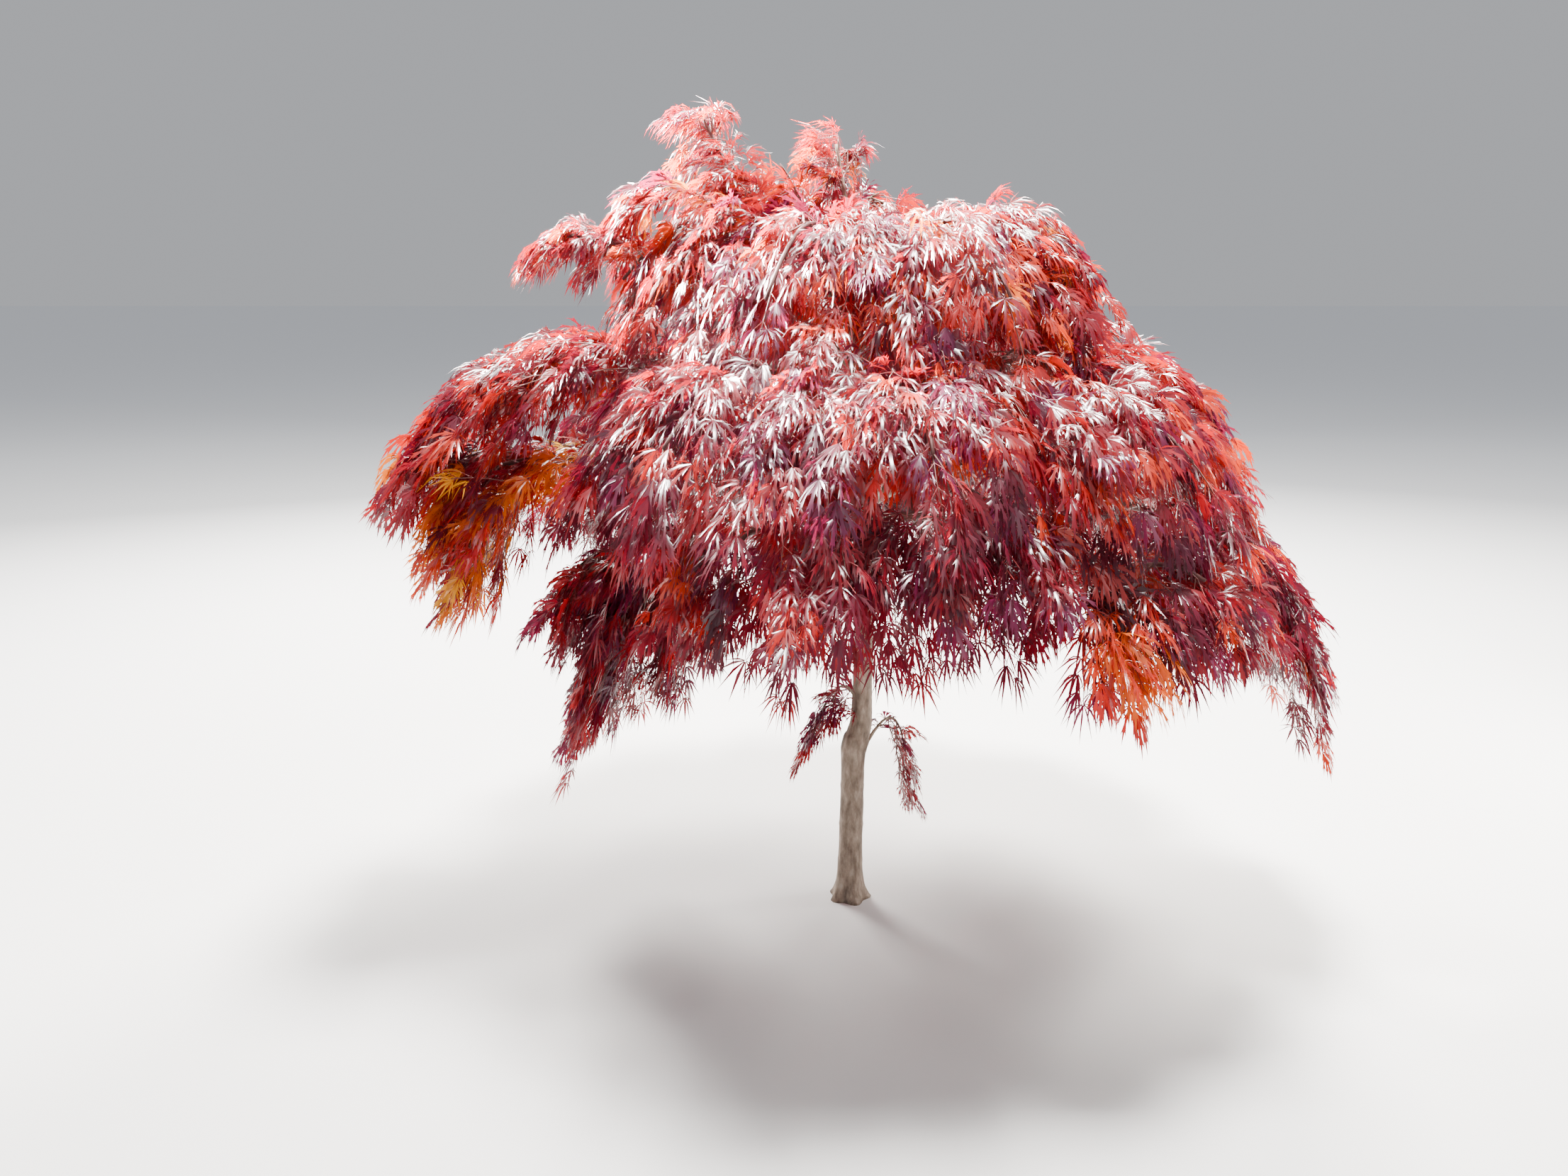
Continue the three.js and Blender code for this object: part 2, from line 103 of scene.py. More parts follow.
# Boughs of one tier leave the stem near the height root, with their roots staggered. They
# thin from the radius thick to thin, and rise on their way out.
TIERS = {
    "crown": in_mm(root=925, stagger=17, thick=10, thin=6, rise=40),
    "middle": in_mm(root=835, stagger=22, thick=12, thin=7, rise=60),
    "skirt": in_mm(root=735, stagger=24, thick=13, thin=8, rise=130),
    "spray": in_mm(root=950, stagger=11, thick=8, thin=5, rise=20),
}
STAGGER_ROUND = 4
RISE_REACH = 400 * MM
BOUGH_TAPER = 0.8

# The mesh of a limb, the collar where it leaves the stem, and its share of the bark's relief.
LIMB = {
    "bough_steps": 20,
    "stem_steps": 14,
    "sides": 12,
    "sprout_sides": 8,
    "smoothing": 3,
    "collar": 3.2 * MM,
    "collar_length": 22 * MM,
    "relief": 0.45,
}
# A direction with a larger upward part than this counts as upright.
UPRIGHT = {"limb": 0.9, "twig": 0.8}


def mass(name, tier, bearing, start, crest, tip, half_width, tint):
    """A mass of foliage: its bearing in degrees from +X over +Y, then distance out and height
    in millimetres of its stem's start, of its crest and of its hanging tip."""
    arch = np.array([start, crest, tip]) * MM
    return {
        "name": name,
        "tier": tier,
        "bearing": math.radians(bearing),
        "arch": arch,
        "half_width": half_width * MM,
        "tint": tint,
    }


MASSES = [mass(*row) for row in (
    ("crown_right", "crown", 354, (110, 1165), (270, 1270), (442, 1095), 185, "scarlet"),
    ("crown_back_right", "crown", 52, (100, 1160), (250, 1268), (440, 1080), 195, "wine"),
    ("crown_back_left", "crown", 118, (100, 1160), (245, 1290), (435, 1085), 195, "wine"),
    ("crown_left", "crown", 184, (110, 1140), (270, 1262), (442, 1085), 165, "crimson"),
    ("crown_front_left", "crown", 242, (100, 1145), (245, 1252), (430, 1060), 185, "crimson"),
    ("crown_front_right", "crown", 300, (100, 1155), (255, 1258), (440, 1060), 185, "scarlet"),
    ("spire", "spray", 176, (185, 1190), (250, 1320), (300, 1400), 45, "scarlet"),
    ("top_spray", "spray", 150, (40, 1200), (62, 1290), (86, 1360), 45, "scarlet"),
    ("left_spray", "spray", 182, (360, 1150), (470, 1205), (570, 1190), 40, "scarlet"),
    ("middle_right", "middle", 2, (320, 985), (505, 1005), (680, 815), 215, "crimson"),
    ("middle_back_right", "middle", 46, (300, 975), (500, 1010), (680, 830), 225, "burgundy"),
    ("middle_back", "middle", 94, (290, 975), (480, 1010), (660, 840), 225, "burgundy"),
    ("middle_back_left", "middle", 142, (300, 975), (490, 1010), (670, 860), 220, "burgundy"),
    ("left_shelf", "middle", 188, (340, 985), (605, 1035), (840, 865), 195, "orange"),
    ("middle_front_left", "middle", 234, (290, 975), (450, 1010), (610, 880), 190, "crimson"),
    ("middle_front", "middle", 275, (280, 965), (450, 1015), (625, 890), 210, "crimson"),
    ("middle_front_right", "middle", 318, (300, 965), (485, 1000), (665, 850), 220, "crimson"),
    ("skirt_right", "skirt", 353, (440, 755), (665, 775), (830, 520), 185, "wine"),
    ("skirt_back_right", "skirt", 44, (420, 790), (610, 815), (735, 655), 225, "burgundy"),
    ("skirt_back", "skirt", 92, (400, 790), (590, 820), (720, 675), 225, "burgundy"),
    ("skirt_back_left", "skirt", 138, (420, 820), (600, 845), (725, 735), 215, "burgundy"),
    ("skirt_left", "skirt", 187, (450, 840), (630, 865), (735, 725), 165, "orange"),
    ("lower_left", "skirt", 172, (235, 690), (420, 668), (545, 395), 115, "purple"),
    ("skirt_front_left", "skirt", 238, (300, 765), (400, 795), (475, 700), 155, "crimson"),
    ("skirt_front", "skirt", 276, (370, 810), (515, 865), (660, 800), 195, "wine"),
    ("skirt_front_right", "skirt", 316, (390, 680), (560, 765), (700, 705), 205, "wine"),
    ("sprout_left", "stem", 188, (0, 330), (45, 425), (110, 320), 30, "purple"),
    ("sprout_right", "stem", 28, (0, 300), (70, 350), (110, 200), 40, "purple"),
)]
# Small side growths of the masses that they name. They start among the twigs of their mass,
# have no bough of their own, and close the top of the crown or fill out the outline.
SIDES = [mass(*row) for row in (
    ("crown_left", "side", 168, (105, 1190), (125, 1275), (165, 1325), 75, "scarlet"),
    ("crown_left", "side", 181, (220, 1215), (335, 1300), (445, 1215), 85, "scarlet"),
    ("crown_right", "side", 10, (110, 1175), (75, 1250), (15, 1262), 130, "scarlet"),
    ("crown_back_right", "side", 70, (100, 1170), (70, 1250), (10, 1262), 130, "crimson"),
    ("crown_back_left", "side", 130, (100, 1170), (70, 1255), (10, 1268), 130, "crimson"),
    ("crown_front_left", "side", 225, (100, 1155), (70, 1240), (15, 1258), 130, "scarlet"),
    ("crown_front_right", "side", 300, (100, 1165), (70, 1240), (15, 1255), 130, "scarlet"),
    ("skirt_left", "side", 185, (600, 850), (700, 865), (755, 755), 130, "orange"),
    ("lower_left", "side", 178, (300, 665), (430, 705), (575, 600), 105, "purple"),
    ("lower_left", "side", 163, (300, 655), (370, 610), (400, 480), 105, "purple"),
    ("middle_front_right", "side", 316, (250, 1000), (300, 1045), (350, 1010), 75, "crimson"),
)]
CROWN_AXIS = np.array([24 * MM, 0.0])
CROWN_MIDDLE = 720 * MM

# A mass spreads over an arch from its start over its crest to its tip. The arch widens from
# its start, and its sides hang.
ARCH = {
    "widens_until": 0.35,
    "least_out": 200 * MM,
    "hang": 0.22,
    "hang_power": 1.6,
    "area_widths": 1.7,
    "area_points": 12,
    "samples_along": 6,
    "samples_across": 5,
}
# The stem of a mass, which runs a little below the middle of its arch.
STEM = {
    "reach": 0.92,
    "root_share": 0.9,
    "sprout": 3 * MM,
    "tip": 2.6 * MM,
    "taper": 0.6,
    "nodes": 5,
    "sunk": 0.2,
}

# Twigs leave the stem and each other for targets spread evenly over the arch, by steps along
# and over it that never line up. Every third target lies deep in the mass. Near the tip the
# targets are drawn in by the length short, times the factor under shorter for some masses.
# Those of three tiers are lifted by one length at the crest and by another at the tip.
TWIG = {
    "sides": 3,
    "steps": 4,
    "root_share": 0.5,
    "arch": 0.1,
    "fork_at": 0.78,
    "head_start": 0.08,
    "first_target": 0.04,
    "last_target": 1.0,
    "ragged": 0.07,
    "widest": 1.08,
    "shorter": {
        "crown_left": 0.0, "crown_front_left": 0.6, "left_shelf": 1.35, "skirt_left": 0.8,
        "skirt_right": 1.6,
    },
    "first_share": 0.5,
    "along_step": 0.7548776662,
    "over_step": 0.569840291,
    "along_power": 0.7,
    "least_along": 0.02,
    "sunk": 0.12,
    "deep_every": 3,
    "deep_first": 0.45,
    "depth_inward": 0.5,
    "depth_down": 0.8,
    "deeper": {
        "lower_left": 0.75, "skirt_left": 0.6, "skirt_front_right": 0.3, "skirt_right": 0.4,
        "spire": 0.0, "top_spray": 0.0,
    },
    "lifted": {
        "crown": (8 * MM, -22 * MM),
        "middle": (27 * MM, 3 * MM),
        "spray": (14 * MM, 0),
    },
    "bushy": in_mm(spire=24, top_spray=18, left_spray=12),
    "far": 10.0,
    "limbs_at_once": 200,
    "pairs_at": (2, 3),
} | in_mm(
    thin=0.9, short=52, inner_depth=75, deep_from=40, deep_to=190, overlap=55, clear_of_limbs=9,
    leafy_from=45,
)
# Every spray is the fine end of one twig and carries leaves in pairs and one at its end. A
# mass has a number of sprays for its area, and never less than the least of its tier.
SPRAY = {
    "per_square_metre": 470,
    "fuller": {"lower_left": 2.4, "left_shelf": 1.3, "skirt_left": 1.5},
    "least": {"crown": 20, "middle": 20, "skirt": 20, "spray": 22, "side": 16, "stem": 9},
    "length": in_mm(crown=54, middle=56, skirt=56, spray=24, side=46, stem=28),
    "steps": 3,
    "droop": 0.34,
    "pairs_at": (0.12, 0.5, 0.86),
    "tip_from": 0.8,
    "pair_angle": 46,
    "angle_jitter": 24,
    "tip": 0.6 * MM,
    "middle_at": 0.7,
}
# Each spray, the leaves along its twig, and the young leaves at its tip are dealt a colour.
DEALS_EACH = 3
# Sprays turn outward and down from the direction of their twig, more so towards the tip of
# the arch, and less on the two small sprays at the top.
HANG = {
    "outward": 0.55,
    "sideways": 0.9,
    "at_start": 0.1,
    "towards_tip": 0.8,
    "by_chance": 0.5,
    "share": {"spire": 0.8, "top_spray": 0.5},
    "face_outward": 0.6,
    "face_sideways": 0.8,
}
STALK = {
    "length": 19 * MM,
    "shortest": 0.7,
    "longer": 0.6,
    "sides": 3,
    "radius": 0.6 * MM,
    "rise": 0.25,
    "rise_on_twig": 0.5,
    "drop": 0.3,
    "turn_back": 0.55,
    "leaf_hang": 0.15,
    "leaf_hang_more": 0.55,
    "tilt": 0.5,
    "roll": 0.8,
}

# A leaf is a fan of narrow lobes cut almost to its foot, and each lobe hangs. Sizes are
# shares of the leaf's length.
LEAF = {
    "length": in_mm(crown=72, middle=76, skirt=76, spray=56, side=72, stem=54),
    "shortest": 0.66,
    "angles": (104, 70, 35, 0, -35, -70, -104),
    "reach": (0.5, 0.78, 0.95, 1.0, 0.95, 0.78, 0.5),
    "stations": (0.04, 0.36, 0.68, 1.0),
    "half_widths": (0.016, 0.036, 0.027),
    "tooth_out": (0.092, 0.072),
    "tooth_on": (0.085, 0.075),
    "tooth_root": 0.45,
    "tooth_sag": 0.2,
    "cup": 0.18,
    "roll": 0.5,
    "spread": (0.40, 0.86),
    "sag": (0.25, 0.85),
    "angle_jitter": 9,
    "reach_jitter": 0.16,
}
# The corners of a lobe without teeth, and of one with four.
PLAIN_LOBE_CORNERS = 5
TOOTHED_LOBE_CORNERS = 15
# Leaves reach at most this far out of the box of the solids, and stay this far above the
# ground.
OUTSIDE = 4 * MM
LOWEST_LEAF = 20 * MM

# Leaf colours, as plain base colours: the leaf itself, the light that comes through it,
# the share of the full gloss, and the tint of the record that it belongs to.
COLOURS = {
    "burgundy": ((0.036, 0.002, 0.010), (0.20, 0.004, 0.016), 0.35, "leaf_burgundy"),
    "wine": ((0.066, 0.002, 0.012), (0.34, 0.006, 0.018), 0.50, "leaf_wine"),
    "claret": ((0.100, 0.002, 0.009), (0.46, 0.006, 0.012), 0.75, "leaf_crimson"),
    "plum": ((0.070, 0.004, 0.026), (0.26, 0.008, 0.040), 0.55, "leaf_wine"),
    "crimson": ((0.150, 0.003, 0.008), (0.60, 0.010, 0.012), 1.00, "leaf_crimson"),
    "red": ((0.180, 0.003, 0.003), (0.80, 0.016, 0.006), 1.00, "leaf_crimson"),
    "scarlet": ((0.280, 0.012, 0.002), (0.92, 0.060, 0.004), 1.00, "leaf_scarlet"),
    "orange": ((0.360, 0.048, 0.001), (1.00, 0.200, 0.003), 0.55, "leaf_orange"),
    "amber": ((0.500, 0.160, 0.003), (1.00, 0.480, 0.010), 0.55, "leaf_orange"),
}
# How often each colour is dealt to the sprays of a tint, first in shade and then in sun. The
# shade counts lean to darker colours as painted shade, and the sun counts to brighter ones as
# painted light, over each tint's own mix of colours. For the tint orange the two stand instead
# for above and below the height in ORANGE. The counts are in the order of COLOURS.
DEALS = {
    "scarlet": ((2, 3, 4, 2, 3, 1, 0, 0, 0), (1, 2, 3, 1, 3, 3, 3, 1, 0)),
    "crimson": ((4, 4, 4, 2, 2, 1, 0, 0, 0), (0, 2, 3, 2, 4, 2, 2, 0, 0)),
    "orange": ((3, 4, 4, 0, 3, 2, 1, 0, 0), (0, 1, 2, 0, 0, 2, 3, 6, 3)),
    "wine": ((5, 4, 2, 2, 0, 0, 0, 0, 0), (0, 3, 4, 2, 3, 1, 1, 0, 0)),
    "burgundy": ((7, 3, 0, 1, 0, 0, 0, 0, 0), (3, 4, 3, 2, 0, 1, 0, 0, 0)),
    "purple": ((0, 3, 4, 5, 1, 0, 0, 0, 0), (0, 2, 4, 4, 2, 1, 0, 0, 0)),
}
# How sunny a spray's place is, which sets how much light or shade is painted into its colour:
# a share for all, more where it faces the sun, less for each metre of depth, and a part by
# chance.
TO_SUN = np.array([0.50, 0.30, 0.81])
SUNNY = {"base": 0.42, "facing": 0.72, "depth": 4.0, "by_chance": 0.5}
# Masses of the tint orange are dark above, and orange and amber below this height.
ORANGE = {"below": 890 * MM, "over": 180 * MM}
# Other places where the leaves have turned orange, how far around each, and their deal.
TURNED = [
    ((0.337, -0.55, 0.715), 65 * MM),
    ((0.307, -0.55, 0.86), 50 * MM),
    ((-0.451, -0.20, 0.84), 110 * MM),
]
TURNED_DEAL = (0, 0, 0, 0, 0, 2, 3, 5, 1)

# How the materials look. The names with capitals are those of the shader nodes' inputs.
LEAF_LOOK = {
    "roughness": 0.36,
    "coat": 1.0,
    "through": 0.36,
    "gloss": {"Specular IOR Level": 0.3, "Coat IOR": 1.85, "Coat Roughness": 0.24},
}
TWIG_LOOK = {"colour": (0.13, 0.045, 0.035), "roughness": 0.55}
STALK_LOOK = {"colour": (0.26, 0.03, 0.03), "roughness": 0.45}
BARK_LOOK = {
    "roughness": 0.72,
    "stretch": {"Scale": (1.0, 1.0, 0.35)},
    "mottle": {"Scale": 75, "Detail": 6, "Roughness": 0.62},
    "tones": (
        (0.30, (0.066, 0.045, 0.033)),
        (0.43, (0.158, 0.113, 0.080)),
        (0.55, (0.240, 0.177, 0.130)),
        (0.70, (0.390, 0.312, 0.245)),
    ),
    "grain": {"Scale": 420, "Detail": 4},
    "bump": {"Strength": 0.5, "Distance": 0.6 * MM},
}
# All wood this far out from the upright axis is young, and nearer in it turns to old bark.
YOUNG_WOOD = {"all_from": 120 * MM, "soft": 0.45, "colour": (0.075, 0.022, 0.018)}
BLACK = (0.0, 0.0, 0.0)
WHITE = (1.0, 1.0, 1.0)
# The sockets of a Mix node that mixes colours.
MIX = {"share": 0, "first": 6, "second": 7, "result": 2}

# The floor, the studio and the camera. The floor's colour is paler beyond the lamps' reach:
# painted light, which makes up for the light that they don't give there.
FLOOR = {
    "half_size": 30.0,
    "roughness": 0.9,
    "near": (0.61, 0.60, 0.59),
    "far": (0.93, 0.95, 0.98),
    "far_from": 7.0,
    "near_until": 0.8,
}
STUDIO = {"colour": (0.93, 0.95, 1.0), "strength": 0.48}
CAMERA = {"place": (-0.123, -2.2, 1.17), "pitch_down": 14.5, "lens": 29.4, "sensor_width": 36}

SEED = 11
random = np.random.default_rng(SEED)


def unit(vectors):
    return vectors / np.maximum(np.linalg.norm(vectors, axis=-1, keepdims=True), TINY)


def dot(a, b):
    return np.sum(a * b, axis=-1, keepdims=True)


def lerp(a, b, share):
    return a + (b - a) * share


def off_middle(shape):
    """Random numbers from -0.5 to 0.5."""
    return random.random(shape) - 0.5


def is_small(spec):
    """Whether a mass is a sprout of the stem or a side growth, which has no bough."""
    return spec["tier"] in ("stem", "side")


# Stem

def trunk_centre(height):
    lower = TRUNK["graft_height"] - TRUNK["graft_length"]
    graft = np.clip((height - lower) / (2 * TRUNK["graft_length"]), 0, 1)
    graft = graft * graft * (3 - 2 * graft)
    share = height / TRUNK["height"]
    x = TRUNK["lean"] * share + TRUNK["graft_step"] * graft
    y = TRUNK["bow"] * np.sin(np.pi * share)
    return np.stack([x, y, height], axis=-1)


def trunk_radius(height):
    above = np.maximum(height - TRUNK["graft_height"], 0)
    share = above / (TRUNK["height"] - TRUNK["graft_height"])
    scion = lerp(TRUNK["scion_radius"], TRUNK["head_radius"], share)
    stem = np.where(height < TRUNK["graft_height"], TRUNK["stock_radius"], scion)
    flare = (TRUNK["foot_radius"] - TRUNK["stock_radius"]) * np.exp(-height / TRUNK["flare_height"])
    off_graft = (height - TRUNK["graft_height"]) / TRUNK["graft_length"]
    return stem + flare + TRUNK["graft_swell"] * np.exp(-off_graft * off_graft)


def bark_relief(points, along, strength):
    """How far the bark stands out at points on a limb. along is the distance up the limb."""
    blown_up = [Vector(point) * BARK["lump_scale"] for point in points]
    lumps = np.array([noise.fractal(point, *BARK["lump_grain"]) for point in blown_up])
    stretched = points * np.array([1, 1, BARK["rib_stretch"]]) * BARK["rib_scale"]
    ribs = np.array([noise.noise(Vector(point)) for point in stretched])
    spread = points * np.array([1, 1, BARK["pore_stretch"]]) * BARK["pore_scale"]
    pores = np.array([noise.noise(Vector(point)) for point in spread])
    pores = np.maximum(pores - BARK["pore_above"], 0)
    off_ring = (along + BARK["ring_spacing"] / 2) % BARK["ring_spacing"] - BARK["ring_spacing"] / 2
    rings = np.exp(-((off_ring / BARK["ring_width"]) ** 2))
    relief = BARK["lump"] * lumps + BARK["rib"] * ribs + BARK["pore"] * pores + BARK["ring"] * rings
    return strength * relief


def side_faces(rings, sides):
    """Triangles between the rings of a tube."""
    side = np.arange(sides)
    near = (np.arange(rings - 1) * sides)[:, None] + side
    near_next = (np.arange(rings - 1) * sides)[:, None] + (side + 1) % sides
    first = np.stack([near, near_next, near_next + sides], axis=-1).reshape(-1, 3)
    second = np.stack([near, near_next + sides, near + sides], axis=-1).reshape(-1, 3)
    return np.concatenate([first, second])


def tube(centres, radii, sides, strength, swell=None):
    """Corners and triangles of one closed limb with the bark's relief."""
    count = len(centres)
    tangents = unit(np.gradient(centres, axis=0))
    angles = 2 * np.pi * np.arange(sides) / sides
    across = np.array([1.0, 0.0, 0.0]) if abs(tangents[0, 2]) > UPRIGHT["limb"] else UP
    steps = np.linalg.norm(np.diff(centres, axis=0), axis=1)
    along = np.concatenate([[0.0], np.cumsum(steps)])
    outward = np.zeros((count, sides, 3))
    for ring in range(count):
        across = unit(across - dot(across, tangents[ring]) * tangents[ring])
        over = np.cross(tangents[ring], across)
        outward[ring] = np.cos(angles)[:, None] * across + np.sin(angles)[:, None] * over
    sizes = np.repeat(radii[:, None], sides, axis=1)
    if swell is not None:
        sizes = sizes * swell(angles[None, :], along[:, None])
    corners = centres[:, None, :] + outward * sizes[..., None]
    lengths = np.repeat(along, sides)
    relief = bark_relief(corners.reshape(-1, 3), lengths, strength).reshape(count, sides)
    relief = relief * np.clip(sizes / TRUNK["head_radius"], 0, 1)
    corners = corners + outward * relief[..., None]
    ends = np.array([corners[0].mean(axis=0), corners[-1].mean(axis=0)])
    foot = count * sides
    last = (count - 1) * sides
    side = np.arange(sides)
    following = (side + 1) % sides
    under = np.stack([np.full(sides, foot), following, side], axis=-1)
    over = np.stack([np.full(sides, foot + 1), last + side, last + following], axis=-1)
    faces = np.concatenate([side_faces(count, sides), under, over])
    return np.concatenate([corners.reshape(-1, 3), ends]), faces


# Pieces

def add_object(name, data):
    """A new object in the scene."""
    added = bpy.data.objects.new(name, data)
    bpy.context.scene.collection.objects.link(added)
    return added


def add_piece(name, corners, faces, material, slot, nodes):
    """One joined mesh of the tree, which stands for the CAD nodes."""
    mesh = bpy.data.meshes.new(name)
    mesh.vertices.add(len(corners))
    mesh.vertices.foreach_set("co", corners.astype(np.float32).ravel())
    mesh.loops.add(faces.size)
    mesh.loops.foreach_set("vertex_index", faces.astype(np.int32).ravel())
    mesh.polygons.add(len(faces))
    mesh.polygons.foreach_set("loop_start", np.arange(0, faces.size, 3, dtype=np.int32))
    mesh.update(calc_edges=True)
    mesh.shade_smooth()
    mesh.materials.append(material)
    piece = add_object(name, mesh)
    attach(piece, "root")
    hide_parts(*nodes)


def join(parts):
    """Joins lists of corners and faces into one."""
    corners = []
    faces = []
    start = 0
    for part_corners, part_faces in parts:
        corners.append(part_corners)
        faces.append(part_faces + start)
        start += len(part_corners)
    return np.concatenate(corners), np.concatenate(faces)


def fine_tubes(paths, radii, sides):
    """Open thin tubes along many paths at once: paths is (tubes, points, 3)."""
    tubes, points, _ = paths.shape
    tangents = unit(np.gradient(paths, axis=1))
    chord = unit(paths[:, -1] - paths[:, 0])
    is_upright = np.abs(chord[:, 2:]) > UPRIGHT["twig"]
    helper = np.where(is_upright, np.array([[1.0, 0.0, 0.0]]), UP[None])
    first = unit(np.cross(chord, helper))[:, None, :]
    across = unit(first - dot(first, tangents) * tangents)
    over = np.cross(tangents, across)
    angles = 2 * np.pi * np.arange(sides) / sides
    part_across = np.cos(angles)[:, None] * across[:, :, None, :]
    part_over = np.sin(angles)[:, None] * over[:, :, None, :]
    corners = paths[:, :, None, :] + radii[:, :, None, None] * (part_across + part_over)
    starts = (np.arange(tubes) * points * sides)[:, None, None]
    return corners.reshape(-1, 3), (side_faces(points, sides)[None] + starts).reshape(-1, 3)


# Crown

def crown_points(bearing, out, height):
    x = CROWN_AXIS[0] + out * np.cos(bearing)
    y = CROWN_AXIS[1] + out * np.sin(bearing)
    return np.stack([x, y, height + 0 * x], axis=-1)


def arch_points(spec, t, s):
    """Points at shares t along the arch of a mass and s, from -1 to 1, across it."""
    start, crest, tip = spec["arch"]
    bend = 2 * crest - (start + tip) / 2
    t = np.asarray(t, float)
    s = np.asarray(s, float)
    from_start = ((1 - t) ** 2)[..., None] * start
    from_bend = (2 * t * (1 - t))[..., None] * bend
    from_tip = (t * t)[..., None] * tip
    curve = from_start + from_bend + from_tip
    out, height = curve[..., 0], curve[..., 1]
    sideways = s * spec["half_width"] * np.sqrt(np.minimum(t / ARCH["widens_until"], 1))
    turn = sideways / np.maximum(out, ARCH["least_out"])
    hang = ARCH["hang"] * np.abs(s) ** ARCH["hang_power"] * spec["half_width"] * t
    return crown_points(spec["bearing"] + turn, out, height - hang)


def bezier(start, bend, end, steps):
    share = np.linspace(0, 1, steps + 1)[:, None]
    return (1 - share) ** 2 * start + 2 * share * (1 - share) * bend + share ** 2 * end


def bough_curve(spec, order):
    """A bough's centres from the stem to where its mass starts, and their radii."""
    tier = TIERS[spec["tier"]]
    root = trunk_centre(np.array(tier["root"] + tier["stagger"] * (order % STAGGER_ROUND)))
    out, height = spec["arch"][0]
    end = crown_points(spec["bearing"], np.array(out), np.array(height))
    bend = (root + end) / 2
    bend[2] = max(root[2], end[2]) + tier["rise"] * (out / RISE_REACH)
    share = np.linspace(0, 1, LIMB["bough_steps"] + 1)
    radii = lerp(tier["thick"], tier["thin"], share ** BOUGH_TAPER)
    return bezier(root, bend, end, LIMB["bough_steps"]), radii


def drawn_in(spec, points, t):
    """Moves points of an arch towards the middle of the crown, more so near the tip, which
    leaves room for the sprays."""
    scale = min(spec["half_width"] / ARCH["least_out"], 1) * TWIG["shorter"].get(spec["name"], 1)
    inward = np.zeros_like(points)
    inward[:, :2] = unit(CROWN_AXIS - points[:, :2])
    return points + scale * TWIG["short"] * t[:, None] * inward, inward


def stem_points(spec, share):
    """Points on the stem of a mass, which runs a little below the arch."""
    points = arch_points(spec, STEM["reach"] * share, 0 * share)
    points[:, 2] -= STEM["sunk"] * spec["half_width"] * np.sin(np.pi * share ** STEM["taper"])
    return drawn_in(spec, points, share)[0]


def limb(spec, order):
    """The whole limb of a mass: its bough, and the stem that grows on along its arch."""
    share = np.linspace(0, 1, LIMB["stem_steps"] + 1)
    stem = stem_points(spec, share)
    if is_small(spec):
        return stem, lerp(STEM["sprout"], STEM["tip"] / 2, share)
    thin = STEM["root_share"] * TIERS[spec["tier"]]["thin"]
    stem_radii = lerp(thin, min(STEM["tip"], thin), share ** STEM["taper"])
    centres, radii = bough_curve(spec, order)
    centres = np.concatenate([centres, stem[1:]])
    radii = np.concatenate([radii, stem_radii[1:]])
    for _ in range(LIMB["smoothing"]):
        centres[1:-1] = (centres[:-2] + 2 * centres[1:-1] + centres[2:]) / 4
        radii[1:-1] = (radii[:-2] + 2 * radii[1:-1] + radii[2:]) / 4
    from_trunk = np.linalg.norm(centres - centres[0], axis=1)
    radii = radii + LIMB["collar"] * np.exp(-from_trunk / LIMB["collar_length"])
    return centres, radii


# Points spread over the arch of each mass, which tell whose space a spray is in.
along_arch = np.linspace(0, 1, ARCH["samples_along"])
across_arch = np.linspace(-1, 1, ARCH["samples_across"])
samples_t, samples_s = np.meshgrid(along_arch, across_arch, indexing="ij")
samples_each = samples_t.size
arch_samples = [arch_points(spec, samples_t.ravel(), samples_s.ravel()) for spec in MASSES]
arch_samples = np.concatenate(arch_samples)


def owned(points, index):
    """Whether points lie nearest to the arch of the mass, or hardly nearer to another."""
    found = np.zeros(len(points), bool)
    for row, point in enumerate(points):
        apart = np.linalg.norm(arch_samples - point, axis=1)
        own = apart[index * samples_each:(index + 1) * samples_each].min()
        found[row] = own < apart.min() + TWIG["overlap"]
    return found


def nearest_limb(points, limb_points):
    """The distance from each point to the nearest of the limbs' centres, some at a time."""
    found = np.full(len(points), TWIG["far"])
    for start in range(0, len(limb_points), TWIG["limbs_at_once"]):
        some = limb_points[None, start:start + TWIG["limbs_at_once"]]
        apart = points[:, None, :] - some
        found = np.minimum(found, np.sqrt(np.einsum("ijk,ijk->ij", apart, apart)).min(axis=1))
    return found


# Twigs

